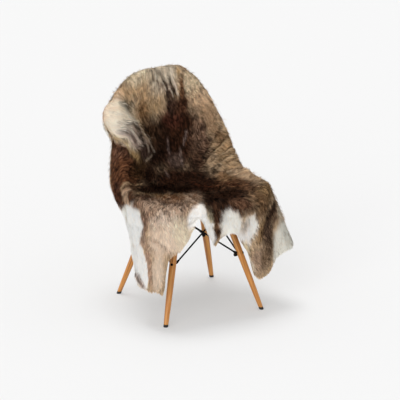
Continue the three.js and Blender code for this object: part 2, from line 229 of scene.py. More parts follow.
# the bare side of the skin
def suedeSkin(plan):
    n = Nodes("suedeSkin")
    place = n.add("TexCoord").outputs["Object"]
    cloud = n.noise(place, 14.0, 5.0)
    nap = n.noise(place, 700.0, 4.0)
    tone = n.ramp(cloud, [(0.3, plan["dark"]), (0.55, plan["middle"]), (0.75, plan["light"])])
    n.put(tone, n.shader.inputs["Base Color"])
    n.shader.inputs["Roughness"].default_value = 0.9
    n.shader.inputs["Sheen Weight"].default_value = plan["sheen"]
    n.shader.inputs["Sheen Roughness"].default_value = 0.5
    n.bump(nap, 0.5, 0.0006)
    return n.material


# the short wool between the hairs, in the colour that the mesh carries
def underCoat():
    n = Nodes("underCoat")
    wool = n.noise(n.add("TexCoord").outputs["Object"], 500.0, 5.0)
    dim = n.ramp(wool, [(0.3, (200, 200, 200)), (0.7, (255, 255, 255))])
    hue = n.add("Attribute", attribute_name="coat").outputs["Color"]
    tone = n.add("Mix", {6: hue, 7: dim}, data_type="RGBA", blend_type="MULTIPLY")
    tone.inputs["Factor"].default_value = 1.0
    n.put(tone.outputs[2], n.shader.inputs["Base Color"])
    n.shader.inputs["Roughness"].default_value = 0.9
    n.shader.inputs["Specular IOR Level"].default_value = 0.1
    n.bump(wool, 0.6, 0.0008)
    return n.material


hairFinish = {"roughness": 0.6, "specular": 0.03}


def reindeerHair(plan):
    n = Nodes("reindeerHair")
    n.put(n.add("Attribute", attribute_name="coat").outputs["Color"], n.shader.inputs["Base Color"])
    n.shader.inputs["Roughness"].default_value = plan["roughness"]
    n.shader.inputs["Specular IOR Level"].default_value = plan["specular"]
    return n.material


finishes = [
    paintedSteel(steelPlan), blackRubber(rubberPlan), mouldedShell(mouldedPlan), oiledBeech(beechPlan),
    suedeSkin(suedePlan), underCoat(), reindeerHair(hairFinish),
]
materials = {finish.name: finish for finish in finishes}
print("materials made")


def addPiece(name, points, faces, material, replaced=(), smooth=True, body="root"):
    mesh = bpy.data.meshes.new(name)
    mesh.from_pydata([tuple(p) for p in points], [], [tuple(f) for f in faces])
    mesh.validate()
    mesh.shade_smooth() if smooth else mesh.shade_flat()
    piece = bpy.data.objects.new(name, mesh)
    bpy.context.collection.objects.link(piece)
    mesh.materials.append(materials[material])
    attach(piece, body)
    if replaced:
        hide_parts(*replaced)
    return piece


# rings of a turned form: outline is rows of (radius, height)
def turnedGrid(outline, sides):
    angles = np.arange(sides) / sides * 2 * np.pi
    r, z = np.asarray(outline, float).T
    ring = np.stack([np.cos(angles), np.sin(angles)], 1)
    heights = np.broadcast_to(z[:, None, None], (len(r), sides, 1))
    return np.concatenate([r[:, None, None] * ring[None], heights], 2)


def gridFaces(rows, sides, closedEnds=True):
    faces = []
    for k in range(rows - 1):
        for i in range(sides):
            j = (i + 1) % sides
            faces.append((k * sides + i, k * sides + j, (k + 1) * sides + j, (k + 1) * sides + i))
    if closedEnds:
        faces.append(tuple(range(sides - 1, -1, -1)))
        faces.append(tuple((rows - 1) * sides + i for i in range(sides)))
    return faces


# turns a form that stands on +Z so that it stands on direction, from start
def alongDirection(points, start, direction):
    turn = np.array(Vector((0, 0, 1)).rotation_difference(Vector(direction)).to_matrix())
    return points.reshape(-1, 3) @ turn.T + np.asarray(start)


# the chair's stand: legs, glides, bolts, rods, mounts and the flat bars of the top frame
legPlan = {
    "footReach": 0.200,  # from the chair's middle to a foot, along x and along y
    "spread": 0.28,  # how far a leg goes out per height
    "sides": 40,
    "endEasing": 0.0012,
    "outline": [  # rows of radius and height
        (0.0086, 0.0093), (0.0098, 0.040), (0.0116, 0.110), (0.0130, 0.190), (0.0126, 0.280),
        (0.0110, 0.350), (0.0090, 0.3915),
    ],
}


def legAxis(corner, z):
    sx, sy = cornerSigns[corner]
    reach = legPlan["footReach"] - legPlan["spread"] * z
    return chairMiddle + np.array([sx * reach, sy * reach, z])


def sheared(points, corner):
    sx, sy = cornerSigns[corner]
    points = points.reshape(-1, 3).copy()
    reach = legPlan["footReach"] - legPlan["spread"] * points[:, 2]
    points[:, 0] += chairMiddle[0] + sx * reach
    points[:, 1] += chairMiddle[1] + sy * reach
    return points


# the outline filled in smoothly, with its two ends eased by edge
def roundedOutline(outline, edge, steps):
    r, z = np.asarray(outline, float).T
    fill = np.linspace(z[0], z[-1], steps)
    radius = np.interp(fill, z, r)
    kernel = np.ones(5) / 5
    radius = np.convolve(np.pad(radius, 2, mode="edge"), kernel, mode="valid")
    rows = list(zip(radius, fill))
    ease = [(1 - math.cos(a), 1 - math.sin(a)) for a in np.linspace(0, math.pi / 2, 5)]
    bottom = [(radius[0] - edge * down, z[0] + edge * side) for side, down in ease]
    top = [(radius[-1] - edge * down, z[-1] - edge * side) for side, down in reversed(ease)]
    inside = [row for row in rows if z[0] + edge < row[1] < z[-1] - edge]
    return bottom + inside + top


def makeLeg(corner):
    outline = roundedOutline(legPlan["outline"], legPlan["endEasing"], 60)
    sides = legPlan["sides"]
    rings = turnedGrid(outline, sides)
    leg = addPiece("beechLeg_" + corner, sheared(rings, corner), gridFaces(len(outline), sides),
                   "oiledBeech", ["leg_" + corner])
    layer = leg.data.uv_layers.new(name="grain")
    shift = cornerNames.index(corner) * 0.37  # each leg is cut from another place of the plank
    around = 0.08  # the leg's girth
    heights = rings.reshape(-1, 3)[:, 2]
    for polygon in leg.data.polygons:
        columns = [leg.data.loops[i].vertex_index % sides for i in polygon.loop_indices]
        wraps = max(columns) - min(columns) > sides / 2
        for i, column in zip(polygon.loop_indices, columns):
            turn = column + sides if wraps and column < sides / 2 else column
            layer.uv[i].vector = (shift + turn / sides * around, heights[leg.data.loops[i].vertex_index])
    return leg


glidePlan = {
    "sides": 36,
    "endEasing": 0.0009,
    "outline": [(0.0086, 0.0), (0.0088, 0.002), (0.0088, 0.0089)],
}


def makeGlide(corner):
    outline = roundedOutline(glidePlan["outline"], glidePlan["endEasing"], 12)
    sides = glidePlan["sides"]
    return addPiece("rubberGlide_" + corner, sheared(turnedGrid(outline, sides), corner),
                    gridFaces(len(outline), sides), "blackRubber", ["glide_" + corner])


boltPlan = {
    "height": 0.212,
    "sides": 28,
    "outline": [  # the thick nut inside, where the rods meet, the shank through the leg, the domed head
        (0.0, -0.0270), (0.0030, -0.0268), (0.0052, -0.0258), (0.0064, -0.0238), (0.0068, -0.0210),
        (0.0068, -0.0150), (0.0058, -0.0142), (0.0030, -0.0140), (0.0030, 0.0108), (0.0048, 0.0110),
        (0.0051, 0.0115), (0.0048, 0.0121), (0.0038, 0.0125), (0.0020, 0.0128), (0.0, 0.0129),
    ],
}


def makeBolt(corner):
    sx, sy = cornerSigns[corner]
    outwards = np.array([sx, sy, 2 * legPlan["spread"]])
    outwards /= np.linalg.norm(outwards)
    outline, sides = boltPlan["outline"], boltPlan["sides"]
    points = alongDirection(turnedGrid(outline, sides), legAxis(corner, boltPlan["height"]), outwards)
    return addPiece("steelBolt_" + corner, points, gridFaces(len(outline), sides, False),
                    "paintedSteel", ["bolt_" + corner])


rodPlan = {
    "radius": 0.0030,
    "sides": 20,
    "lower": 0.214,  # heights of its two ends
    "upper": 0.368,
    "fromAxis": 0.015,  # from a leg's axis to the rod's end
    "crossing": 0.0032,  # how far it passes beside the other rod
    "pressedFrom": 0.020,  # from its end to where it starts to be pressed flat
    "pressedTo": 0.008,  # and to where it is quite flat
    "pressedWider": 0.75,
    "pressedThinner": 0.5,
    "tip": 0.0012,
}


def makeRod(low, high):
    across = legAxis(high, 0) - legAxis(low, 0)
    across /= np.linalg.norm(across)
    aside = np.array([-across[1], across[0], 0]) * rodPlan["crossing"]
    start = legAxis(low, rodPlan["lower"]) + across * rodPlan["fromAxis"] + aside
    end = legAxis(high, rodPlan["upper"]) - across * rodPlan["fromAxis"] + aside
    length = np.linalg.norm(end - start)
    along = (end - start) / length
    flatWay = np.cross(along, aside / np.linalg.norm(aside))
    flatWay /= np.linalg.norm(flatWay)
    thinWay = np.cross(flatWay, along)
    ending = np.concatenate([[0, 0.0006], np.linspace(0.002, 0.022, 9)])
    stations = np.concatenate([ending, np.linspace(0.03, length - 0.03, 14), length - ending[::-1]])
    sides = rodPlan["sides"]
    angles = np.arange(sides) / sides * 2 * np.pi
    rings = []
    for s in stations:
        toEnd = min(s, length - s)
        pressed = 1 - smoothStep(rodPlan["pressedTo"], rodPlan["pressedFrom"], toEnd)
        tip = math.sqrt(np.clip(toEnd / rodPlan["tip"], 0.0, 1.0)) * 0.5 + 0.5
        wide = rodPlan["radius"] * (1 + rodPlan["pressedWider"] * pressed) * tip
        thin = rodPlan["radius"] * (1 - rodPlan["pressedThinner"] * pressed) * tip
        ring = np.outer(np.cos(angles) * wide, flatWay) + np.outer(np.sin(angles) * thin, thinWay)
        rings.append(start + along * s + ring)
    node = f"rod_from_{low}_to_{high}"
    return addPiece(f"steelRod_{low}_to_{high}", np.concatenate(rings), gridFaces(len(stations), sides),
                    "paintedSteel", [node])


mountOutline = [  # shares of its radius and height: a rubber block with a waist
    (0.55, 0), (0.96, 0), (1, 0.06), (1, 0.22), (0.8, 0.34), (0.72, 0.5),
    (0.8, 0.66), (1, 0.78), (1, 0.94), (0.96, 1), (0.55, 1),
]


def makeMount(corner):
    low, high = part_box("mount_" + corner)
    middle = (low + high) / 2
    radius, height, sides = (high.x - low.x) / 2, high.z - low.z, 36
    outline = [(radius * r, height * h) for r, h in mountOutline]
    points = turnedGrid(outline, sides).reshape(-1, 3) + np.array([middle.x, middle.y, low.z])
    return addPiece("rubberMount_" + corner, points, gridFaces(len(outline), sides),
                    "blackRubber", ["mount_" + corner])


barEdge = 0.0014  # how far the flat bars' edges are eased


def makeFrameBar(side):
    low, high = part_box("frame_" + side)
    mesh = bmesh.new()
    bmesh.ops.create_cube(mesh, size=1)
    size, middle = high - low, (low + high) / 2
    for v in mesh.verts:
        v.co = Vector((v.co.x * size.x, v.co.y * size.y, v.co.z * size.z)) + middle
    bmesh.ops.bevel(mesh, geom=mesh.edges[:], offset=barEdge, segments=3, affect="EDGES")
    points = [v.co.copy() for v in mesh.verts]
    faces = [[v.index for v in f.verts] for f in mesh.faces]
    mesh.free()
    return addPiece("steelBar_" + side, points, faces, "paintedSteel", ["frame_" + side],
                    smooth=False)


for number, corner in enumerate(cornerNames):
    following = cornerNames[(number + 1) % 4]
    makeLeg(corner)
    makeGlide(corner)
    makeBolt(corner)
    makeMount(corner)
    makeRod(corner, following)
    makeRod(following, corner)
for side in ("front", "rear", "left", "right"):
    makeFrameBar(side)
print("stand made")


# from here on the shell and the hide are worked out in millimetres, on the chair's own axes
shellPlan = {
    "thickness": 6.0,
    "frontPower": 5.0,  # how square its outline is in front and at the top
    "backPower": 3.0,
    "risePower": 2.2,  # how steeply its sides rise
    "spokes": 160,
    "lip": [(0.985, 0.3), (0.995, 0.9), (1.0, 2.2)],  # share of the width, and how far the edges are eased
}
stationNames = ("y", "z", "halfWidth", "edgeForward", "edgeUp")
shellStations = [  # along the centre line, from the front lip to the top of the back
    (-222, 408, 208, 0, 0),
    (-192, 432, 222, 0, 2),
    (-110, 430, 230, 0, 14),
    (-10, 416, 230, 2, 34),
    (80, 414, 226, 18, 56),
    (150, 444, 217, 50, 62),
    (190, 516, 208, 64, 36),
    (212, 612, 202, 50, 14),
    (234, 716, 198, 34, 6),
    (252, 790, 193, 22, 2),
    (262, 828, 186, 16, 0),
]
stationColumns = dict(zip(stationNames, np.array(shellStations, float).T))


def stationValue(name, t):
    values = stationColumns[name]
    x = np.clip(t, 0, 1) * (len(values) - 1)
    i = np.minimum(x.astype(int), len(values) - 2)
    a, b, c, d = (values[np.clip(i + k, 0, len(values) - 1)] for k in (-1, 0, 1, 2))
    f = x - i
    return b + 0.5 * f * (c - a + f * (2 * a - 5 * b + 4 * c - d + f * (3 * (b - c) + d - a)))


lineShares = np.linspace(0, 1, 601)
lineSteps = np.hypot(np.diff(stationValue("y", lineShares)), np.diff(stationValue("z", lineShares)))
lineLengths = np.concatenate([[0], np.cumsum(lineSteps)])
lineLength = lineLengths[-1]


# the shell's sitting face at flat places: across from the centre line, and along from the front lip
def shellPoint(flat):
    t = np.interp(flat[..., 1], lineLengths, lineShares)
    share = (np.abs(flat[..., 0]) / stationValue("halfWidth", t)) ** shellPlan["risePower"]
    return np.stack([flat[..., 0], stationValue("y", t) - share * stationValue("edgeForward", t),
                     stationValue("z", t) + share * stationValue("edgeUp", t)], -1)


def shellFrame(flat):
    inside = np.stack([flat[..., 0], np.clip(flat[..., 1], 1, lineLength - 1)], -1)
    u = unit(shellPoint(inside + [1, 0]) - shellPoint(inside - [1, 0]))
    v = unit(shellPoint(inside + [0, 1]) - shellPoint(inside - [0, 1]))
    return u, v, unit(np.cross(u, v))


rimAngles = np.arange(4000) / 4000 * 2 * np.pi


def signedPower(value, power):
    return np.sign(value) * np.abs(value) ** (2 / power)


rimPowers = np.where(np.cos(rimAngles) > 0, shellPlan["frontPower"], shellPlan["backPower"])
rimAlong = lineLength / 2 * (1 - signedPower(np.cos(rimAngles), rimPowers))
rimHalf = stationValue("halfWidth", np.interp(rimAlong, lineLengths, lineShares))
rimAcross = rimHalf * signedPower(np.sin(rimAngles), rimPowers)
rimPoints = np.stack([rimAcross, rimAlong], 1)
rimPoints = np.concatenate([rimPoints, rimPoints[:1]])
rimReached = np.concatenate([[0], np.cumsum(np.linalg.norm(np.diff(rimPoints, axis=0), axis=1))])


# the rim's flat place at bearings in degrees: 0 at the front, 90 at +X, 180 at the top of the back
def rimAt(bearing):
    wanted = np.mod(bearing, 360) / 360 * rimReached[-1]
    return np.stack([np.interp(wanted, rimReached, rimPoints[:, k]) for k in (0, 1)], -1)


hidePlan = {
    "skinGap": 5.0,  # from the shell to the skin
    "skinThickness": 2.4,
    "centre": 0.47,
    "bridge": 14.0,  # how far the sheet stands off the hollow between seat and back
    "bridgeAt": 400.0,
    "bridgeWidth": 75.0,
    "innerRings": 50,
    "outerRings": 50,
    "spokes": 360,
    "hemHair": 8.0,  # how far the skin stops short of the hair's hem
    "unevenness": [(1.6, 42, 5), (1.2, 19, 6)],  # height, size and seed of its slight lumps
}
hemNames = ("at", "x", "y", "z", "out", "over")
hemRows = [  # where the sheet's edge hangs, by bearing round the rim
    (0, -22, -246, 293, 20, 16),
    (4, 2, -246, 322, 20, 16),
    (10, 62, -244, 328, 20, 16),
    (14, 84, -246, 292, 20, 16),
    (19, 116, -250, 235, 20, 16),
    (22, 134, -256, 160, 20, 16),
    (29, 186, -258, 150, 20, 16),
    (35.5, 252, -216, 194, 18, 14),
    (41.5, 292, -228, 218, 30, 10),
    (47, 340, -190, 224, 42, 10),
    (55, 343, -125, 235, 42, 10),
    (64, 306, -60, 225, 32, 14),
    (76, 292, 10, 240, 22, 16),
    (90, 272, 110, 330, 26, 18),
    (105, 252, 205, 430, 26, 22),
    (120, 230, 272, 520, 24, 26),
    (137, 198, 312, 600, 17, 30),
    (152, 152, 330, 640, 18, 34),
    (166, 84, 340, 600, 22, 38),
    (180, 0, 342, 585, 12, 38),
    (194, -84, 338, 610, 14, 38),
    (205, -150, 332, 650, 20, 34),
    (220, -212, 300, 636, 42, 24),
    (233, -182, 268, 566, 11, 24),
    (242, -194, 258, 510, 9, 24),
    (254, -224, 200, 440, 12, 20),
    (266, -245, 112, 400, 14, 14),
    (275, -248, 55, 372, 18, 10),
    (284, -252, -8, 305, 20, 10),
    (291, -258, -52, 225, 20, 12),
    (298, -262, -95, 148, 20, 12),
    (308, -258, -165, 138, 20, 14),
    (318, -240, -225, 142, 20, 14),
    (321.5, -226, -240, 144, 20, 16),
    (326, -209, -246, 262, 20, 16),
    (333, -163, -250, 300, 20, 16),
    (341, -115, -247, 356, 20, 16),
    (346.5, -80, -234, 405, 5, 6),
    (353, -52, -246, 345, 20, 16),
]
foldRows = [  # from x, y, to x, y, half width, height and lean of soft ridges on the flat hide
    (-256, 716, -92, 466, 66, 34, 16),
    (95, 462, 232, 372, 34, 11, 4),
    (120, 392, 240, 312, 30, 10, 4),
    (40, 640, 175, 560, 44, 7, 0),
    (-190, 330, -40, 250, 46, 9, 0),
    (30, 150, 210, 190, 50, 9, 0),
    (-150, 90, -175, -150, 40, 9, 0),
    (30, 60, -15, -110, 26, 8, 0),
]
wrinkleRows = [  # the same for the small wrinkles
    (120, 440, 206, 575, 10, 6, 0),
    (142, 420, 228, 540, 10, 8, 0),
    (152, 402, 246, 486, 10, 8, 0),
    (150, 378, 256, 428, 10, 8, 0),
    (150, 350, 262, 390, 10, 7, 0),
    (150, 334, 262, 330, 11, 7, 0),
    (150, 322, 275, 238, 16, 9, 0),
    (-242, 305, -285, 196, 16, 6, 0),
    (-385, 70, -372, -20, 16, 5, 0),
]


# smooth value of one of the hem's columns, round the closed table
def hemValue(name, bearing):
    at = np.array([row[0] for row in hemRows], float)
    values = np.array([row[hemNames.index(name)] for row in hemRows], float)
    at = np.concatenate([at[-2:] - 360, at, at[:3] + 360])
    values = np.concatenate([values[-2:], values, values[:3]])
    slopes = (values[2:] - values[:-2]) / (at[2:] - at[:-2])
    b = np.mod(bearing, 360)
    i = np.clip(np.searchsorted(at, b, side="right") - 1, 1, len(at) - 3)
    width = at[i + 1] - at[i]
    f = (b - at[i]) / width
    m0, m1 = slopes[i - 1] * width, slopes[i] * width
    f2, f3 = f * f, f * f * f
    return ((2 * f3 - 3 * f2 + 1) * values[i] + (f3 - 2 * f2 + f) * m0 + (3 * f2 - 2 * f3) * values[i + 1]
            + (f3 - f2) * m1)


# how far the folds lift the sheet at flat places, and how far they push it across
def foldedBy(flat, rows):
    lift = np.zeros(flat.shape[:-1])
    push = np.zeros(flat.shape)
    for x0, y0, x1, y1, width, height, lean in rows:
        along = np.array([x1 - x0, y1 - y0], float)
        length = np.linalg.norm(along)
        along /= length
        to = flat - [x0, y0]
        distance = to @ along
        side = np.abs(to[..., 0] * along[1] - to[..., 1] * along[0])
        ends = smoothStep(0, width, distance) * smoothStep(0, width, length - distance)
        share = np.where(side < width, ends * np.cos(np.minimum(side / width, 1) * np.pi / 2) ** 2, 0)
        lift += height * share
        push -= np.array([along[1], -along[0]]) * (lean * share)[..., None]
    return lift, push


def skinPoint(flat):
    normal = shellFrame(flat)[2]
    off = (flat[..., 1] - hidePlan["bridgeAt"]) / hidePlan["bridgeWidth"]
    hollow = hidePlan["bridge"] * np.exp(-(off ** 2))
    middle = 1 - (np.abs(flat[..., 0]) / 260) ** 3
    return shellPoint(flat) + normal * (hidePlan["skinGap"] + hollow * middle)[..., None]


# points over the rim and down to the hem: two soft bends with a common tangent
def turnPath(edge, beyond, behind, end, steps=40):
    turn = (beyond + behind) / 2
    t = np.linspace(0, 1, steps)[:, None, None]
    first = (1 - t) ** 2 * edge + 2 * t * (1 - t) * beyond + t * t * turn
    second = (1 - t) ** 2 * turn + 2 * t * (1 - t) * behind + t * t * end
    return np.concatenate([first, second[1:]])


def sheetNormals(middle, rings):
    inner = np.concatenate([np.broadcast_to(middle, rings[:1].shape), rings[:-1]])
    outer = np.concatenate([rings[1:], rings[-1:]])
    across = np.roll(rings, -1, axis=1) - np.roll(rings, 1, axis=1)
    return unit(np.cross(outer - inner, across))


noiseCells = 64  # the noise repeats after this many lumps


# smooth noise from -1 to 1 on flat places, with lumps of about the given size
def softNoise(places, size, seed):
    rng = np.random.default_rng(seed)
    table = rng.uniform(-1, 1, (noiseCells, noiseCells))
    p = places / size
    cell = np.floor(p).astype(int)
    f = p - cell
    f = f * f * (3 - 2 * f)
    x, y = cell[..., 0], cell[..., 1]
    corner = [[table[(x + i) % noiseCells, (y + j) % noiseCells] for j in (0, 1)] for i in (0, 1)]
    low = corner[0][0] * (1 - f[..., 0]) + corner[1][0] * f[..., 0]
    high = corner[0][1] * (1 - f[..., 0]) + corner[1][1] * f[..., 0]
    return low * (1 - f[..., 1]) + high * f[..., 1]


# the part of the sheet past the rim: rings of points down to the hem, their flat places and its reach
def hangingRings(plan, bearings, rim, edge):
    tangent = unit(rimAt(bearings + 3) - rimAt(bearings - 3))
    outFlat = np.stack([tangent[:, 1], -tangent[:, 0]], 1)
    u, v, normal = shellFrame(rim)
    out = unit(u * outFlat[:, :1] + v * outFlat[:, 1:])
    beyond = edge + out * hemValue("out", bearings)[:, None]
    behind = beyond - normal * hemValue("over", bearings)[:, None]
    end = np.stack([hemValue(name, bearings) for name in ("x", "y", "z")], 1)
    path = turnPath(edge, beyond, behind, end)
    reached = np.concatenate([np.zeros((1, len(bearings))),
                              np.cumsum(np.linalg.norm(np.diff(path, axis=0), axis=2), axis=0)])
    shares = (np.arange(plan["outerRings"]) + 1) / plan["outerRings"]
    points = np.empty((plan["outerRings"], len(bearings), 3))
    reach = reached[-1] - plan["hemHair"]
    for i in range(len(bearings)):
        for k in range(3):
            points[:, i, k] = np.interp(shares * reach[i], reached[:, i], path[:, i, k])
    return points, rim + outFlat * (reach[None, :, None] * shares[:, None, None]), reach


# the skin's inner face over the chair: a middle point, rings of points and their flat places
def drapeHide(plan):
    bearings = np.arange(plan["spokes"]) / plan["spokes"] * 360
    rim = rimAt(bearings)
    centre = np.array([0, lineLength * plan["centre"]])
    shares = (np.arange(plan["innerRings"]) + 1) / plan["innerRings"]
    innerFlats = centre + (rim - centre)[None] * shares[:, None, None]
    inner = skinPoint(innerFlats)
    outer, outerFlats, reach = hangingRings(plan, bearings, rim, inner[-1])
    rings = np.concatenate([inner, outer])
    flats = np.concatenate([innerFlats, outerFlats])
    middle = skinPoint(centre)
    lift, push = foldedBy(flats, foldRows + wrinkleRows)
    k = np.arange(1, len(rings) + 1) * 1.0
    fade = 1 - smoothStep(plan["innerRings"] * 0.75, plan["innerRings"] * 1.3, k)
    u, v, _ = shellFrame(flats)
    normals = sheetNormals(middle, rings)
    for height, size, seed in plan["unevenness"]:
        lift = lift + height * softNoise(flats, size, seed)
    rings = rings + normals * lift[..., None]
    rings = rings + (u * push[..., :1] + v * push[..., 1:]) * fade[:, None, None]
    return {"middle": middle, "rings": rings, "flats": flats, "centre": centre, "reach": reach,
            "normals": sheetNormals(middle, rings)}


drape = drapeHide(hidePlan)
print("hide draped:", drape["rings"].shape)


# millimetres on the chair's own axes as metres in the row's frame
def toRow(points):
    return points * mm + chairMiddle


# a closed sheet between two faces, each a middle point and rings of points
def sheetBetween(name, frontMiddle, front, backMiddle, back, material, replaced):
    rings, sides = front.shape[:2]
    points = np.concatenate([[frontMiddle], front.reshape(-1, 3), [backMiddle], back.reshape(-1, 3)])
    half = 1 + rings * sides
    i = np.arange(sides)
    j = (i + 1) % sides
    faces = []
    for a in range(sides):
        faces.append((0, 1 + a, 1 + j[a]))
        faces.append((half, half + 1 + j[a], half + 1 + a))
    for k in range(1, rings):
        low, high = 1 + (k - 1) * sides, 1 + k * sides
        for a, b in zip(i, j):
            faces.append((low + a, high + a, high + b, low + b))
            faces.append((half + low + b, half + high + b, half + high + a, half + low + a))
    last = 1 + (rings - 1) * sides
    for a, b in zip(i, j):
        faces.append((last + a, half + last + a, half + last + b, last + b))
    return addPiece(name, toRow(points), faces, material, replaced)


def makeShell(plan):
    bearings = np.arange(plan["spokes"]) / plan["spokes"] * 360
    rim = rimAt(bearings)
    centre = np.array([0, lineLength * hidePlan["centre"]])
    lip = np.array(plan["lip"])
    shares = np.concatenate([np.linspace(0.06, 0.97, 30), lip[:, 0]])
    flats = centre + (rim - centre)[None] * shares[:, None, None]
    normal = shellFrame(flats)[2]
    face = shellPoint(flats)
    rounding = np.concatenate([np.zeros(30), lip[:, 1]])[:, None, None]
    front = face - normal * rounding
    back = face - normal * (plan["thickness"] - rounding)
    middleNormal = shellFrame(centre)[2]
    middle = shellPoint(centre)
    return sheetBetween("seatShell", middle, front, middle - middleNormal * plan["thickness"], back,
                        "mouldedShell", ["seat_shell"])


makeShell(shellPlan)
print("shell made")


def makeSkin():
    step = 2
    front = drape["rings"][step - 1::step, ::step]
    normals = drape["normals"][step - 1::step, ::step]
    thick = hidePlan["skinThickness"]
    middleNormal = shellFrame(drape["centre"])[2]
    return sheetBetween("hideSkin", drape["middle"] + middleNormal * thick, front + normals * thick,
                        drape["middle"], front, "suedeSkin", ["hide"])


hideSkin = makeSkin()
print("skin made")


# the coat: where it is long, how it is combed and how it is coloured, all by flat places on the hide
coatPlan = {
    "hairs": 265000,
    "seed": 11,
    "length": 24.0,
    "height": 9.0,  # how far the lying hair stands over the skin
    "width": 1.45,
    "lockSize": 4.2,  # the finest locks, and the tufts that they gather in
    "tuftSize": 17.0,
    "lockPull": 0.55,
    "tuftPull": 0.25,
    "lockContrast": 0.8,
    "tuftContrast": 0.26,
    # the size of the flecks, whose dark ones are painted shade between tufts
    "fleckSize": 4.0,
    # the size of the painted glints on dark hair
    "glintSize": 5.5,
    "strays": 0.07,  # share of single hairs that stand up
    "thinnerBehind": 0.45,  # share of the hairs left out where the hide hangs behind the chair
    "combSpread": 0.16,  # how unevenly the hairs lie, and how their length, width and tone differ
    "lengthSpread": 0.2,
    "widthSpread": 0.25,
    "toneSpread": 0.12,
    "raggedHem": 13.0,
    "thinHem": 45.0,  # width along the hem in which the coat grows thinner
    "lift": 1.9,  # lightens the middle tones, which the hair's own shade darkens
}
combRows = [  # flat place, direction of the hair there and how far that reaches
    (-60, 760, -0.1, -1.0, 120),
    (120, 720, 0.35, -1.0, 120),
    (-180, 640, 0.75, -0.85, 90),
    (-120, 520, 0.65, -0.8, 60),
    (190, 440, 0.9, -0.45, 90),
    (40, 560, 0.05, -1.0, 120),
    (60, 300, 0.15, -1.0, 120),
    (-260, 440, -1.0, -0.25, 100),
    (-200, 380, -0.9, -0.5, 70),
    (-190, 300, -0.6, -0.8, 100),
    (190, 230, 0.8, -0.5, 90),
    (-120, 150, -0.3, -1.0, 110),
    (60, 120, 0.1, -1.0, 100),
    (220, 60, 0.6, -0.8, 90),
    (-150, -60, -0.25, -1.0, 100),
    (-320, 120, -1.0, -0.15, 120),
    (-430, 20, -1.0, -0.2, 120),
    (300, -60, 0.75, -0.7, 120),
    (0, -60, 0.0, -1.0, 80),
]
lengthRows = [  # flat place, how far it reaches, and the change of length
    (430, 0, 110, -0.6),
    (-480, 100, 140, -0.3),
    (-200, 640, 90, 0.25),
    (0, -60, 60, 0.15),
    (-85, 0, 45, -0.5),
    (205, 430, 80, -0.4),
    (300, -170, 90, -0.35),
    (-150, -100, 80, 0.2),
    (150, 700, 120, -0.25),
]
contrastRows = [  # flat place, how far it reaches, and the change of contrast between the locks
    (-190, 70, 80, 0.9),
    (-250, 420, 150, 0.3),
    (430, 0, 120, -0.7),
    (-400, 200, 140, -0.5),
    (-330, -30, 110, -0.5),
    (-460, 0, 80, -0.4),
]
baseColour = (176, 150, 120)
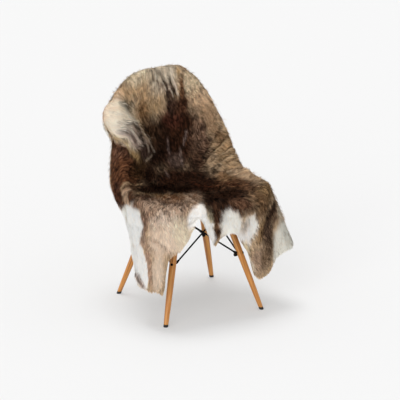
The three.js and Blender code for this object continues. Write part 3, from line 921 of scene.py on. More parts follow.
# among these spots are some of painted shade and some of painted light
coatSpots = {  # soft spots of colour, laid on in order: what, x, y, half sizes, turn, colour, softness
    "upperBack": [
        ("left shoulder", -100, 740, 115, 70, 40, (170, 141, 108), 0.5),
        ("pale top", -80, 795, 65, 30, 25, (194, 177, 150), 0.6),
        ("rosy edge", -195, 710, 30, 10, 55, (196, 166, 140), 0.9),
        ("golden brown", -85, 655, 45, 30, 85, (122, 91, 61), 0.6),
        ("tan", -35, 680, 45, 35, 55, (160, 133, 100), 0.5),
        ("neck tuft", 20, 795, 85, 55, 60, (182, 168, 148), 0.5),
        ("its grey foot", 20, 740, 30, 20, 15, (140, 122, 104), 0.5),
        ("its dark tip", 35, 715, 30, 20, 80, (92, 74, 62), 0.5),
        ("right shoulder", 140, 725, 60, 40, -80, (186, 166, 138), 0.5),
        ("below it", 150, 660, 55, 45, -80, (174, 145, 116), 0.5),
        ("and lower", 175, 595, 50, 35, -85, (152, 124, 96), 0.5),
    ],
    "hollow": [
        ("dark saddle", 40, 530, 135, 100, 70, (47, 27, 16), 0.3),
        ("reddish top", 30, 620, 45, 40, 25, (62, 34, 24), 0.5),
        ("under the tuft", 38, 665, 38, 26, 80, (56, 38, 29), 0.5),
        ("darkest left", -60, 510, 105, 65, 70, (38, 23, 15), 0.4),
        # partly the dark coat and partly painted shadow, where the roll overhangs the hollow
        ("beside the roll", -75, 565, 65, 50, 50, (56, 38, 25), 0.5),
        # partly the dark coat and partly painted shade, in the hollow where the seat meets the back
        ("foot of the back", 15, 360, 135, 55, -5, (44, 28, 20), 0.4),
        ("right brown", 135, 500, 90, 40, -85, (84, 62, 48), 0.5),
        ("right mauve", 135, 535, 70, 25, -85, (104, 80, 64), 0.5),
        ("grey wisps", 25, 450, 35, 25, 10, (78, 62, 54), 0.6),
        ("low right", 110, 420, 45, 35, 85, (66, 46, 34), 0.5),
        ("back stripe", 85, 715, 60, 14, 80, (102, 72, 50), 0.5),
        ("its root", 80, 655, 35, 25, 75, (70, 44, 30), 0.5),
    ],
    "wrinkled": [
        ("tan side", 215, 430, 105, 35, -85, (154, 126, 94), 0.4),
        ("pale foot", 235, 345, 65, 30, -85, (166, 138, 106), 0.5),
        ("shade above", 200, 520, 35, 20, -85, (112, 86, 62), 0.6),
    ],
    "lobe": [
        ("brown lobe", -245, 425, 190, 95, 80, (89, 57, 38), 0.25),
        ("lighter top", -225, 535, 50, 30, 90, (98, 68, 52), 0.6),
        ("dark inside", -150, 415, 85, 45, 65, (60, 41, 25), 0.5),
        ("darkest inside", -115, 385, 70, 30, 65, (42, 26, 17), 0.5),
        ("foot", -315, 390, 90, 35, -55, (80, 50, 36), 0.5),
        ("white below", -330, 290, 95, 20, -65, (240, 236, 228), 0.2),
    ],
    "roll": [
        ("beside the crest", -165, 670, 55, 30, 40, (196, 176, 148), 0.5),
        ("outer fringe", -325, 690, 110, 50, 80, (230, 227, 220), 0.35),
        ("cream top", -205, 665, 50, 40, 70, (225, 210, 188), 0.3),
        ("lower cream", -195, 565, 75, 22, -70, (228, 211, 188), 0.3),
        ("rosy end", -235, 675, 30, 18, 80, (210, 180, 156), 0.6),
        ("pale core", -200, 610, 50, 13, -75, (242, 233, 218), 0.5),
        ("grey", -185, 635, 35, 25, -45, (208, 195, 175), 0.5),
        ("mauve", -180, 560, 40, 10, -60, (180, 160, 147), 0.5),
        ("dark band", -170, 585, 40, 13, -50, (122, 104, 90), 0.5),
        ("low grey", -155, 535, 35, 20, -45, (150, 132, 120), 0.5),
        ("dark tip", -130, 505, 35, 25, -25, (62, 46, 39), 0.5),
        ("dark mark", -150, 695, 40, 13, 25, (52, 38, 28), 0.5),
        ("border", -205, 550, 45, 6, -75, (190, 164, 128), 0.4),
        ("border's foot", -170, 495, 40, 14, -50, (150, 122, 84), 0.5),
    ],
    "seat": [
        # partly the dark coat and partly painted shade: the seat's rear half lies in the back's shadow
        ("dark seat", 75, 245, 205, 115, -40, (48, 27, 16), 0.4),
        ("right side", 160, 155, 115, 65, 85, (92, 64, 44), 0.5),
        ("under the ledge", 235, 220, 55, 23, -75, (176, 148, 118), 0.5),
        ("beside the ledge", 175, 270, 40, 25, -75, (116, 88, 62), 0.5),
        ("front", 65, 70, 110, 85, 25, (50, 30, 19), 0.4),
        ("brown front", 90, 10, 60, 30, 5, (88, 62, 46), 0.5),
        ("right front", 205, 25, 65, 50, 70, (106, 80, 56), 0.5),
        ("its pale edge", 240, 75, 55, 25, 50, (124, 98, 68), 0.5),
    ],
    "leftFront": [
        # partly the dark coat and partly painted shade: a dark band across the seat's rear half, in the
        # back's shadow
        ("dark line", -70, 290, 170, 55, 5, (40, 24, 15), 0.4),
        # painted light: the lit side of the fold at the left
        ("pale fold", -260, 240, 40, 25, 70, (162, 136, 112), 0.5),
        ("its top", -215, 300, 40, 16, 45, (92, 68, 50), 0.5),
        # painted shade: the shaded side of the same fold
        ("dark arc", -245, 205, 50, 14, 70, (64, 42, 29), 0.5),
        ("brown", -215, 160, 65, 35, 65, (86, 60, 44), 0.5),
        ("grey band", -175, 70, 100, 90, -5, (164, 139, 119), 0.4),
        ("tan edge", -105, 150, 65, 50, 40, (162, 130, 104), 0.6),
        ("right of it", -40, 125, 105, 35, 60, (170, 144, 122), 0.5),
        ("shaded side", -255, 75, 50, 25, -50, (148, 122, 102), 0.5),
        ("upper flap", -225, 10, 95, 35, -30, (196, 174, 156), 0.5),
        ("flap", -280, -20, 130, 55, -35, (207, 187, 167), 0.4),
        ("flap's edge", -310, 110, 60, 25, -20, (126, 100, 84), 0.5),
        ("lower edge", -375, 115, 40, 20, -55, (162, 138, 120), 0.5),
        ("lower flap", -440, -15, 95, 50, -20, (202, 183, 163), 0.4),
        ("stripe", -450, 65, 75, 30, 10, (174, 144, 122), 0.5),
        ("right of the flap", -175, -50, 60, 40, 25, (206, 191, 168), 0.5),
    ],
    "white": [
        ("left hem", -460, 255, 150, 48, 42, (243, 242, 239), 0.2),
        ("left", -350, 200, 100, 70, -40, (243, 242, 239), 0.12),
        ("lower left", -485, 145, 85, 70, 0, (243, 241, 238), 0.15),
        ("notch", -85, 5, 55, 25, 45, (238, 234, 229), 0.3),
        ("right of the notch", -50, -25, 65, 20, -75, (238, 235, 230), 0.3),
        ("left peak", 35, -20, 30, 30, 45, (236, 231, 224), 0.3),
        ("middle", 50, -55, 50, 45, -50, (236, 232, 224), 0.2),
        ("right peak", 150, -65, 45, 40, -65, (238, 233, 226), 0.25),
        ("low middle", 110, -105, 55, 25, -5, (232, 227, 222), 0.35),
        ("brown corner", -265, 160, 40, 14, -70, (122, 96, 78), 0.4),
        ("end of the tail", -22, -95, 40, 14, -75, (238, 235, 230), 0.3),
    ],
    "rightFront": [
        ("hem", 445, -10, 135, 85, 65, (205, 201, 191), 0.25),
        ("brown notch", 80, -5, 25, 8, 5, (92, 66, 50), 0.5),
        ("spot", 115, -70, 27, 15, 55, (178, 166, 154), 0.7),
        ("left of the tail", -30, -10, 23, 11, 70, (192, 180, 152), 0.5),
        ("top of the tail", 10, 75, 95, 30, 70, (46, 28, 18), 0.4),
        ("tail", 0, -5, 50, 17, 70, (58, 38, 26), 0.3),
        ("low tail", -5, -70, 30, 13, -90, (74, 52, 36), 0.4),
        ("golden", 230, -70, 60, 28, 60, (142, 112, 80), 0.5),
        ("pale below", 160, -140, 60, 14, 10, (184, 158, 128), 0.5),
        ("cream below", 120, -140, 23, 15, -30, (208, 188, 158), 0.5),
        ("flap", 225, -185, 75, 45, 10, (162, 136, 114), 0.5),
        ("dark flap", 305, -125, 90, 40, 60, (112, 90, 70), 0.5),
        ("valley", 275, 0, 105, 28, 65, (58, 41, 30), 0.5),
        ("low valley", 280, -65, 65, 34, 55, (86, 66, 52), 0.5),
        ("strip", 325, 35, 45, 20, 70, (114, 90, 70), 0.5),
        ("pale strip", 355, 70, 35, 23, 65, (176, 162, 142), 0.5),
        ("pale panel", 420, -10, 110, 46, 65, (204, 200, 189), 0.2),
        ("flap's pale edge", 175, -205, 50, 9, -40, (210, 194, 174), 0.5),
        ("lowest tip", -545, 160, 42, 21, 75, (150, 132, 122), 0.5),
    ],
}
# among these streaks are painted shade in wrinkles and creases, and painted highlights on ridges and
# crests
coatStreaks = [  # thin streaks: what, from x, y, to x, y, half width, colour
    ("shoulder whorl", -98, 784, -85, 780, 6, (84, 68, 50)),
    ("small whorl", -150, 762, -138, 762, 6, (96, 78, 62)),
    ("tuft, pale", -25, 798, -14, 777, 3, (222, 208, 188)),
    ("tuft, pale", 27, 800, 30, 760, 6, (206, 192, 172)),
    ("tuft, pale", 56, 798, 54, 748, 4, (216, 202, 184)),
    ("tuft, pale", 55, 756, 66, 700, 4, (208, 191, 174)),
    ("tuft, dark", -33, 793, -29, 762, 5, (68, 54, 42)),
    ("tuft, dark", 0, 795, 10, 777, 5, (94, 78, 64)),
    ("tuft, dark", 10, 768, 24, 743, 5, (72, 57, 46)),
    ("tuft, dark", 42, 775, 42, 741, 5, (48, 35, 29)),
    ("tuft, dark", -18, 772, -4, 738, 3, (84, 68, 54)),
    ("tuft, dark", 22, 745, 34, 708, 4, (60, 46, 38)),
    ("tuft, dark", 50, 735, 58, 700, 3, (66, 50, 42)),
    ("tuft, pale", 4, 764, 24, 722, 2, (208, 192, 170)),
    ("tuft, pale", 36, 742, 46, 704, 2, (212, 196, 176)),
    ("back stripe", 84, 800, 78, 775, 6, (166, 134, 92)),
    ("roll's crest", -173, 623, -118, 541, 3, (240, 226, 204)),
    ("roll's crest", -123, 535, -60, 500, 3, (214, 194, 172)),
    ("roll's end", -123, 470, -76, 490, 4, (196, 174, 150)),
    ("roll, dark", -188, 618, -158, 576, 6, (52, 40, 32)),
    ("roll, dark", -163, 564, -129, 516, 7, (40, 29, 24)),
    ("roll, dark", -198, 589, -167, 540, 4, (96, 78, 72)),
    ("roll, pale", -194, 600, -157, 533, 3, (222, 206, 188)),
    ("roll, pale", -150, 600, -120, 550, 2, (214, 196, 176)),
    ("roll, pale", -140, 535, -112, 500, 3, (188, 168, 150)),
    ("hollow, grey", 85, 566, 70, 506, 5, (112, 94, 86)),
    ("hollow, grey", 57, 500, 49, 421, 5, (98, 82, 74)),
    ("hollow, grey", 4, 541, 9, 482, 6, (90, 74, 68)),
    ("hollow, grey", -32, 412, -23, 376, 7, (74, 60, 54)),
    # painted shade in the valleys of the small wrinkles
    ("wrinkle", 136, 430, 174, 485, 6, (46, 31, 20)),
    ("wrinkle", 174, 485, 216, 565, 5, (58, 41, 28)),
    ("wrinkle", 150, 416, 186, 467, 6, (46, 31, 20)),
    ("wrinkle", 186, 467, 237, 512, 5, (58, 41, 28)),
    ("wrinkle", 168, 400, 206, 428, 6, (46, 31, 20)),
    ("wrinkle", 206, 428, 244, 447, 5, (58, 41, 28)),
    ("wrinkle", 163, 364, 208, 392, 6, (46, 31, 20)),
    ("wrinkle", 208, 392, 252, 403, 5, (58, 41, 28)),
    ("wrinkle", 154, 343, 202, 357, 6, (46, 31, 20)),
    ("wrinkle", 202, 357, 257, 371, 5, (58, 41, 28)),
    # painted highlights on the wrinkles' ridges
    ("ridge", 164, 434, 222, 481, 4, (192, 166, 130)),
    ("ridge", 185, 415, 238, 424, 4, (196, 170, 136)),
    ("ridge", 175, 378, 250, 388, 4, (192, 166, 132)),
    # painted shade: the dark gap above the fold of the ledge
    ("ledge", 154, 343, 253, 269, 5, (44, 28, 18)),
    # painted highlights along the crest of the fold at the left
    ("fold's crest", -253, 283, -228, 309, 3, (176, 150, 118)),
    ("fold's crest", -228, 309, -170, 322, 3, (170, 144, 110)),
    # a painted highlight: a lighter reddish line along the seat's edge
    ("seat's edge", 48, 324, 170, 145, 6, (78, 42, 26)),
    ("flap", -375, 85, -374, 9, 3, (160, 130, 108)),
    # painted shade in the creases of the flap
    ("flap's crease", -345, 70, -325, -10, 3, (156, 130, 110)),
    ("flap's crease", -325, -10, -295, -85, 3, (160, 134, 114)),
    ("flap's crease", -310, 60, -250, 0, 3, (168, 144, 124)),
]


def nearness(flat, x, y, reach):
    return np.exp(-(((flat[..., 0] - x) ** 2 + (flat[..., 1] - y) ** 2) / reach ** 2))


# the coat's colour at flat places, linear, from the spots and streaks laid on in order, painted light and
# shade among them
def coatColour(flat):
    warp = np.stack([softNoise(flat, 34, 21), softNoise(flat, 34, 22)], -1) * 8
    warp += np.stack([softNoise(flat, 11, 23), softNoise(flat, 11, 24)], -1) * 5
    place = flat + warp
    colour = np.broadcast_to(linear(baseColour), (*flat.shape[:-1], 3)).copy()
    for _, x, y, halfX, halfY, turn, tone, softness in sum(coatSpots.values(), []):
        angle = math.radians(turn)
        to = place - [x, y]
        side = (to[..., 0] * math.cos(angle) + to[..., 1] * math.sin(angle)) / halfX
        along = (-to[..., 0] * math.sin(angle) + to[..., 1] * math.cos(angle)) / halfY
        share = 1 - smoothStep(1 - softness, 1 + softness, np.hypot(side, along))
        colour += (linear(tone) - colour) * share[..., None]
    for _, x0, y0, x1, y1, halfWidth, tone in coatStreaks:
        along = np.array([x1 - x0, y1 - y0], float)
        length = np.linalg.norm(along)
        along /= length
        to = flat + warp * 0.4 - [x0, y0]
        distance = to @ along
        side = np.abs(to[..., 0] * along[1] - to[..., 1] * along[0]) / halfWidth
        ends = smoothStep(-8, 8, distance) * smoothStep(-8, 8, length - distance)
        share = (1 - smoothStep(0.4, 1.5, side)) * ends
        colour += (linear(tone) - colour) * (share * 0.85)[..., None]
    return colour


def turned(way, angle):
    c, s = np.cos(angle), np.sin(angle)
    return np.stack([way[..., 0] * c - way[..., 1] * s, way[..., 0] * s + way[..., 1] * c], -1)


# unit flat directions in which the hair lies
def combedWay(flat):
    way = np.stack([flat[..., 0] * 0.002, np.full(flat.shape[:-1], -0.8)], -1) * 0.15
    for x, y, dx, dy, reach in combRows:
        way += nearness(flat, x, y, reach)[..., None] * unit(np.array([dx, dy]))
    way = unit(way)
    swirl = 0.35 * softNoise(flat, 55, 31) + 0.35 * softNoise(flat, 20, 32) + 0.2 * softNoise(flat, 8, 33)
    return turned(way, swirl)


# how long the hair is, as a share of its usual length
def lengthShare(flat):
    share = 1 + sum(change * nearness(flat, x, y, reach) for x, y, reach, change in lengthRows)
    return np.clip(share, 0.35, 1.8)


netSize = (97, 89)  # the net of tufts repeats after this many


# the nearest centre of a scattered net of tufts, and a random number for each tuft
def tuftCentre(flat, size, seed):
    rng = np.random.default_rng(seed)
    jitter = rng.uniform(0.05, 0.95, (*netSize, 2))
    luck = rng.uniform(0, 1, netSize)
    cell = np.floor(flat / size).astype(int)
    best = np.full(len(flat), np.inf)
    centre = np.zeros_like(flat)
    chance = np.zeros(len(flat))
    for i in (-1, 0, 1):
        for j in (-1, 0, 1):
            c = cell + [i, j]
            row, column = c[:, 0] % netSize[0], c[:, 1] % netSize[1]
            spot = (c + jitter[row, column]) * size
            away = np.sum((spot - flat) ** 2, axis=1)
            nearer = away < best
            best = np.where(nearer, away, best)
            centre[nearer] = spot[nearer]
            chance[nearer] = luck[row, column][nearer]
    return centre, chance


# values of a grid of rings and spokes at fractional places; past the hem it goes on straight
def gridLookup(grid, ring, spoke):
    last = grid.shape[0] - 1
    past = np.maximum(ring - last, 0)[:, None]
    r = np.clip(ring, 0, last - 1e-6)
    k = r.astype(int)
    f = (r - k)[:, None]
    s = np.mod(spoke, grid.shape[1])
    i = s.astype(int) % grid.shape[1]
    j = (i + 1) % grid.shape[1]
    g = (s - np.floor(s))[:, None]
    low = grid[k, i] * (1 - g) + grid[k, j] * g
    high = grid[k + 1, i] * (1 - g) + grid[k + 1, j] * g
    onward = (grid[last, i] - grid[last - 2, i]) / 2
    return low * (1 - f) + high * f + past * onward


# the middle of the sheet as a ring of its own, so that every flat place has a ring and a spoke
spokeCount = hidePlan["spokes"]
withMiddle = {
    "rings": np.concatenate([np.broadcast_to(drape["middle"], (1, spokeCount, 3)), drape["rings"]]),
    "flats": np.concatenate([np.broadcast_to(drape["centre"], (1, spokeCount, 2)), drape["flats"]]),
    "normals": np.concatenate([np.broadcast_to(shellFrame(drape["centre"])[2], (1, spokeCount, 3)),
                               drape["normals"]]),
}
rimSpan = drape["flats"][hidePlan["innerRings"] - 1] - drape["centre"]
rimTurn = np.unwrap(np.arctan2(rimSpan[:, 1], rimSpan[:, 0]))
rimRadius = np.linalg.norm(rimSpan, axis=1)


# the ring and spoke of flat places inside the rim, and a little past it
def placeOnSheet(flat):
    to = flat - drape["centre"]
    turn = np.arctan2(to[:, 1], to[:, 0])
    turn = rimTurn[0] + np.mod(turn - rimTurn[0], 2 * np.pi)
    spoke = np.interp(turn, np.append(rimTurn, rimTurn[0] + 2 * np.pi), np.arange(spokeCount + 1.0))
    i = spoke.astype(int) % spokeCount
    share = np.linalg.norm(to, axis=1) / rimRadius[i]
    past = np.maximum(share - 1, 0) * rimRadius[i] / (drape["reach"][i] / hidePlan["outerRings"])
    return np.minimum(share, 1) * hidePlan["innerRings"] + past, spoke


# rings and spokes of hair roots, even over the skin, and fewer where the hide hangs behind the chair
def rootPlaces(count, rng):
    rings = withMiddle["rings"]
    a, b = rings[:-1], rings[1:]
    c, d = np.roll(b, -1, axis=1), np.roll(a, -1, axis=1)
    halves = [np.linalg.norm(np.cross(p - a, q - a), axis=2) for p, q in ((b, c), (c, d))]
    area = (halves[0] + halves[1]) / 2
    behind = smoothStep(250, 300, rings[:-1, :, 1])
    area = area * (1 - coatPlan["thinnerBehind"] * behind)
    total = np.cumsum(area.ravel())
    cell = np.searchsorted(total, rng.uniform(0, total[-1], count))
    k, i = np.unravel_index(cell, area.shape)
    inward = np.where(k == 0, np.sqrt(rng.uniform(0, 1, count)), rng.uniform(0, 1, count))
    return k + inward, i + rng.uniform(0, 1, count)


# where the hairs stand, how they lie, how long they are and which locks and tufts they gather in
def combHair(plan, rng):
    ring, spoke = rootPlaces(plan["hairs"], rng)
    flats = withMiddle["flats"]
    root = gridLookup(flats, ring, spoke)
    perRing = gridLookup(flats, ring + 0.5, spoke) - gridLookup(flats, np.maximum(ring - 0.5, 0), spoke)
    perSpoke = gridLookup(flats, ring, spoke + 0.5) - gridLookup(flats, ring, spoke - 0.5)
    size = perRing[:, 0] * perSpoke[:, 1] - perRing[:, 1] * perSpoke[:, 0]
    size = np.where(np.abs(size) < 0.3, np.sign(size + 1e-9) * 0.3, size)
    way = turned(combedWay(root), rng.normal(0, plan["combSpread"], len(root)))
    length = plan["length"] * lengthShare(root)
    uneven = 0.22 * softNoise(root, 40, 41)
    length *= np.clip(1 + uneven + rng.normal(0, plan["lengthSpread"], len(root)), 0.4, 1.8)
    base = coatColour(root + way * (length * 0.35)[:, None])
    tip = coatColour(root + way * (length * 0.8)[:, None])
    bright = tip.mean(axis=1)
    lock, lockLuck = tuftCentre(root, plan["lockSize"], 51)
    tuft, tuftLuck = tuftCentre(root, plan["tuftSize"], 52)
    return {"ring": ring, "spoke": spoke, "root": root, "perRing": perRing, "perSpoke": perSpoke,
            "size": size, "way": way, "length": length, "base": base, "tip": tip, "bright": bright,
            "pale": smoothStep(0.28, 0.62, bright), "lock": lock, "lockLuck": lockLuck,
            "tuft": tuft, "tuftLuck": tuftLuck, "shadeLuck": np.mod(lockLuck * 17.3 + tuftLuck * 5.1, 1)}


# how far each hair stands off the skin; pale hair is finer and lies closer
def hairHeights(hair, plan, rng):
    count, pale = len(hair["root"]), hair["pale"]
    stray = rng.uniform(0, 1, count) < plan["strays"]
    uneven = 0.35 * (hair["lockLuck"] - 0.5) + 0.45 * (hair["tuftLuck"] - 0.5)
    uneven = uneven + rng.normal(0, 0.14, count)
    height = plan["height"] * (0.95 + uneven * (1 - 0.6 * pale))
    height *= lengthShare(hair["root"]) ** 0.7 * (1 - 0.55 * pale)
    return np.where(stray, height * rng.uniform(1.2, 2.1, count), height)


# how many rings and spokes a point of each hair lies from its root, at a share of the hair's length
def hairMove(hair, share, plan):
    pull = share ** 1.4
    root, perRing, perSpoke, size = (hair[key] for key in ("root", "perRing", "perSpoke", "size"))
    move = hair["way"] * (hair["length"] * share)[:, None]
    gather = (hair["lock"] - root) * (plan["lockPull"] * pull)
    move += gather + (hair["tuft"] - root) * (plan["tuftPull"] * pull)
    dRing = np.clip((move[:, 0] * perSpoke[:, 1] - move[:, 1] * perSpoke[:, 0]) / size, -20, 20)
    dSpoke = np.clip((perRing[:, 0] * move[:, 1] - perRing[:, 1] * move[:, 0]) / size, -20, 20)
    exactRing, exactSpoke = placeOnSheet(root + move)
    dExact = np.mod(exactSpoke - hair["spoke"] + spokeCount / 2, spokeCount) - spokeCount / 2
    inside = hair["ring"] < hidePlan["innerRings"] - 1
    return np.where(inside, exactRing - hair["ring"], dRing), np.where(inside, dExact, dSpoke)


# hair near the hem is cut short, so that it ends where the hide ends
def cutAtHem(hair, height, plan, rng):
    i = hair["spoke"].astype(int) % spokeCount
    perMm = hidePlan["outerRings"] / drape["reach"][i]
    left = len(withMiddle["flats"]) - 1 - hair["ring"]
    ragged = plan["raggedHem"] * (0.6 * (hair["tuftLuck"] - 0.5) + 0.4 * (hair["lockLuck"] - 0.5))
    room = left + (hidePlan["hemHair"] * rng.uniform(0.3, 1.1, len(left)) + ragged) * perMm
    wanted = hairMove(hair, 1.0, plan)[0]
    kept = np.where(wanted > room, np.clip(room / np.maximum(wanted, 1e-6), 0.25, 1), 1.0)
    height = height * (0.35 + 0.65 * smoothStep(0, plan["thinHem"], left / perMm))
    return height * (0.45 + 0.55 * kept), kept


# the root, the middle and the tip of each hair, with the sheet's normals there
def hairPoints(hair, height, kept, plan):
    points, normals = [], []
    for share, up in ((0.0, 0.0), (0.5, 0.78), (1.0, 1.0)):
        dRing, dSpoke = hairMove(hair, share, plan)
        ring, spoke = hair["ring"] + dRing * kept, hair["spoke"] + dSpoke * kept
        last = len(withMiddle["normals"]) - 1
        normal = unit(gridLookup(withMiddle["normals"], np.minimum(ring, last), spoke))
        over = hidePlan["skinThickness"] - 0.4 + height * up
        points.append(gridLookup(withMiddle["rings"], ring, spoke) + normal * over[:, None])
        normals.append(normal)
    return np.stack(points, 1), np.stack(normals, 1)


# two corners at the root, two at the middle and one at the tip
def fiveCorners(left, right):
    return np.concatenate([left[:, :2], right[:, :2], right[:, 2:]], 1)


# each hair as a narrow blade, with soft normals for its shading
def hairBlades(hair, points, normals, plan, rng):
    count, pale = len(points), hair["pale"]
    along = unit(points[:, 1:] - points[:, :-1])
    along = np.concatenate([along, along[:, -1:]], 1)
    tilt = (1.5 * (hair["shadeLuck"] - 0.5) + rng.normal(0, 0.35, count)) * (1 - 0.6 * pale)
    tilt = tilt[:, None, None]
    aside = unit(np.cross(along, normals))
    aside = unit(aside * np.cos(tilt) + normals * np.sin(tilt))
    halfWidth = plan["width"] / 2 * np.clip(1 + rng.normal(0, plan["widthSpread"], count), 0.5, 1.6)
    reach = halfWidth[:, None, None] * np.array([1.0, 0.8, 0.0])[None, :, None] * aside
    facing = unit(np.cross(aside, along))
    facing *= np.sign(np.sum(facing * normals, axis=2, keepdims=True))
    soft = unit(normals * 0.65 + facing * (0.5 - 0.42 * pale)[:, None, None] + along * 0.12)
    return fiveCorners(points - reach, points + reach), fiveCorners(soft, soft)


# how much lighter or darker each hair is than the coat's colour there
def hairMood(hair, plan, rng):
    root, tuftLuck, bright = hair["root"], hair["tuftLuck"], hair["bright"]
    contrast = 1 + sum(change * nearness(root, x, y, reach) for x, y, reach, change in contrastRows)
    contrast *= 2 - smoothStep(0.02, 0.2, bright)
    toneLuck = np.mod(hair["lockLuck"] * 31.7 + 0.37, 1)
    mood = 1 + plan["lockContrast"] * (toneLuck - 0.5) + plan["tuftContrast"] * (tuftLuck - 0.5)
    mood += rng.normal(0, plan["toneSpread"], len(root))
    # dark and light flecks, where many tips end in the same small spot: the dark ones are painted shade in
    # the gaps between tufts, the light ones lighten a few tips
    _, fleckLuck = tuftCentre(root + hair["way"] * (0.8 * hair["length"])[:, None], plan["fleckSize"], 53)
    mood *= np.where(fleckLuck < 0.2, 0.5, np.where(fleckLuck > 0.82, 1.45, 1.0))
    # painted glints: a few tips of dark hair are lightened as highlights, and others are darkened
    _, glintLuck = tuftCentre(root + hair["way"] * (0.7 * hair["length"])[:, None], plan["glintSize"], 54)
    deep = 1 - smoothStep(0.04, 0.2, bright)
    mood *= 1 + deep * np.where(glintLuck < 0.25, -0.4, np.where(glintLuck > 0.78, 0.85, 0.0))
    return np.clip(1 + (mood - 1) * contrast * (1 - 0.8 * hair["pale"]), 0.25, 3.0)


# the colours of each hair's corners
def hairTones(hair, plan, rng):
    mood = hairMood(hair, plan, rng)[:, None, None]
    # painted shade: each hair is darkened down in the coat, where the hairs above shade it, and a little
    # lightened at its tip
    depthShade = np.array([0.5, 0.88, 1.1])[None, :, None]  # darker down in the coat than at its tips
    depthShade = depthShade + (1 - depthShade) * hair["pale"][:, None, None] * 0.9
    warmth = 0.09 * (hair["shadeLuck"] - 0.5)[:, None] * np.array([1, 0, -1])
    blend = np.array([0.0, 0.5, 1.0])[None, :, None]
    colour = hair["base"][:, None] * (1 - blend) + hair["tip"][:, None] * blend
    colour = colour * (1 + warmth)[:, None]
    tone = colour.mean(axis=2, keepdims=True)
    colour *= 1 + plan["lift"] * tone * (1 - tone) ** 2
    colour = np.clip(colour * mood * depthShade, 0.0, 0.93)
    return fiveCorners(colour, colour)


def growCoat(plan):
    rng = np.random.default_rng(plan["seed"])
    hair = combHair(plan, rng)
    height, kept = cutAtHem(hair, hairHeights(hair, plan, rng), plan, rng)
    points, normals = hairPoints(hair, height, kept, plan)
    verts, shade = hairBlades(hair, points, normals, plan, rng)
    return {"verts": verts, "shade": shade, "tone": hairTones(hair, plan, rng), "root": hair["root"]}


# one piece of the coat: each hair is a narrow blade of one quad and a tip
def addHair(name, coat, chosen):
    verts = toRow(coat["verts"][chosen])
    count = len(verts)
    mesh = bpy.data.meshes.new(name)
    mesh.vertices.add(count * 5)
    mesh.vertices.foreach_set("co", verts.astype(np.float32).ravel())
    corners = np.array([0, 2, 3, 1, 1, 3, 4])
    first = np.arange(count)[:, None]
    mesh.loops.add(count * 7)
    mesh.loops.foreach_set("vertex_index", (first * 5 + corners).astype(np.int32).ravel())
    mesh.polygons.add(count * 2)
    mesh.polygons.foreach_set("loop_start", (first * 7 + np.array([0, 4])).astype(np.int32).ravel())
    mesh.update(calc_edges=True)
    mesh.shade_smooth()
    tone = mesh.color_attributes.new("coat", "FLOAT_COLOR", "POINT")
    rgbaTone = np.concatenate([coat["tone"][chosen], np.ones((count, 5, 1))], 2)
    tone.data.foreach_set("color", rgbaTone.astype(np.float32).ravel())
    side = math.ceil(math.sqrt(count))  # every hair has a small cell of its own on the bake map
    cellX, cellY = (np.arange(count) % side)[:, None], (np.arange(count) // side)[:, None]
    placeX = np.array([0.12, 0.12, 0.88, 0.88, 0.5])
    placeY = np.array([0.08, 0.55, 0.08, 0.55, 0.95])
    perVertex = np.stack([(cellX + placeX) / side, (cellY + placeY) / side], 2)
    layer = mesh.uv_layers.new(name="OFBake")
    layer.uv.foreach_set("vector", perVertex[:, corners].astype(np.float32).ravel())
    mesh.normals_split_custom_set_from_vertices(coat["shade"][chosen].reshape(-1, 3).astype(np.float32))
    piece = bpy.data.objects.new(name, mesh)
    bpy.context.collection.objects.link(piece)
    mesh.materials.append(materials["reindeerHair"])
    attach(piece, "root")
    return piece


def paintUndercoat(skin):
    # the skin's outer face takes the coat's colour, a little deeper where the hair is dark
    flats = np.concatenate([[drape["centre"]], drape["flats"][1::2, ::2].reshape(-1, 2)])
    tone = coatColour(flats)
    tone = tone * (0.6 + 0.4 * smoothStep(0.28, 0.62, tone.mean(axis=1)))[:, None]
    mesh = skin.data
    outer = len(tone)
    paint = np.ones((len(mesh.vertices), 4))
    paint[:outer, :3] = tone
    mesh.color_attributes.new("coat", "FLOAT_COLOR", "POINT").data.foreach_set("color", paint.ravel())
    mesh.materials.append(materials["underCoat"])
    for polygon in mesh.polygons:
        polygon.material_index = int(max(polygon.vertices) < outer)


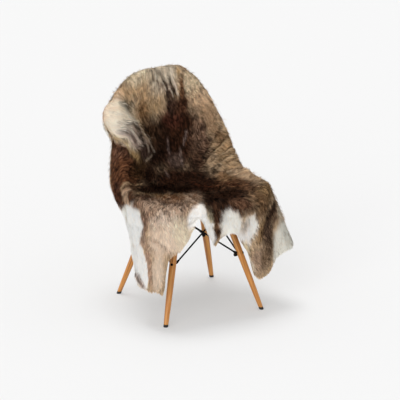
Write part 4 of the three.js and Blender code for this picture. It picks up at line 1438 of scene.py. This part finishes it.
paintUndercoat(hideSkin)
coat = growCoat(coatPlan)
rootX, rootY = coat["root"][:, 0], coat["root"][:, 1]
zoneEdges = {  # from and to, along the hide
    "Neck": (640, 2000),
    "Back": (520, 640),
    "Waist": (270, 520),
    "Seat": (60, 270),
    "Rump": (-2000, 60),
}
coatZones = {}
for name, (low, high) in zoneEdges.items():
    across = (rootY > low) & (rootY <= high)
    coatZones[f"hair{name}Left"] = across & (rootX <= 0)
    coatZones[f"hair{name}Right"] = across & (rootX > 0)
coatPieces = [addHair(name, coat, np.flatnonzero(chosen)) for name, chosen in coatZones.items()]
print("coat grown:", {name: int(chosen.sum()) for name, chosen in coatZones.items()})


studioPlan = {
    "floorHalf": 30.0,
    "floorTone": 0.56,  # how much of the light it sends back
    "floorGlow": 0.225,  # and its own even brightness, which keeps the wide shadows faint
    "worldStrength": 0.72,
    "lights": {  # towards the light, degrees across it, strength
        "topLight": ((0.02, 0.22, 1.0), 30.0, 1.25),
        "sideLight": ((-0.85, -0.8, 0.5), 50.0, 1.35),
    },
}


def makeFloor():
    n = Nodes("paleFloor")
    n.shader.inputs["Base Color"].default_value = (*[studioPlan["floorTone"]] * 3, 1)
    n.shader.inputs["Emission Color"].default_value = (1, 1, 1, 1)
    n.shader.inputs["Emission Strength"].default_value = studioPlan["floorGlow"]
    n.shader.inputs["Roughness"].default_value = 0.95
    n.shader.inputs["Specular IOR Level"].default_value = 0.0
    mesh = bpy.data.meshes.new("floor")
    half = studioPlan["floorHalf"]
    corners = [(-half, -half, 0), (half, -half, 0), (half, half, 0), (-half, half, 0)]
    mesh.from_pydata(corners, [], [(0, 1, 2, 3)])
    mesh.materials.append(n.material)
    floor = bpy.data.objects.new("floor", mesh)
    bpy.context.collection.objects.link(floor)


def addSoftLight(name, towards, spread, strength):
    data = bpy.data.lights.new(name, "SUN")
    data.angle = math.radians(spread)
    data.energy = strength
    light = bpy.data.objects.new(name, data)
    light.rotation_euler = Vector(towards).to_track_quat("Z", "Y").to_euler()
    bpy.context.collection.objects.link(light)


makeFloor()
world = bpy.data.worlds.new("studio")
world.use_nodes = True
world.node_tree.nodes["Background"].inputs["Color"].default_value = (1, 1, 1, 1)
world.node_tree.nodes["Background"].inputs["Strength"].default_value = studioPlan["worldStrength"]
bpy.context.scene.world = world
for name, (towards, spread, strength) in studioPlan["lights"].items():
    addSoftLight(name, towards, spread, strength)
bpy.context.scene.view_settings.view_transform = "Standard"
print("studio lit")
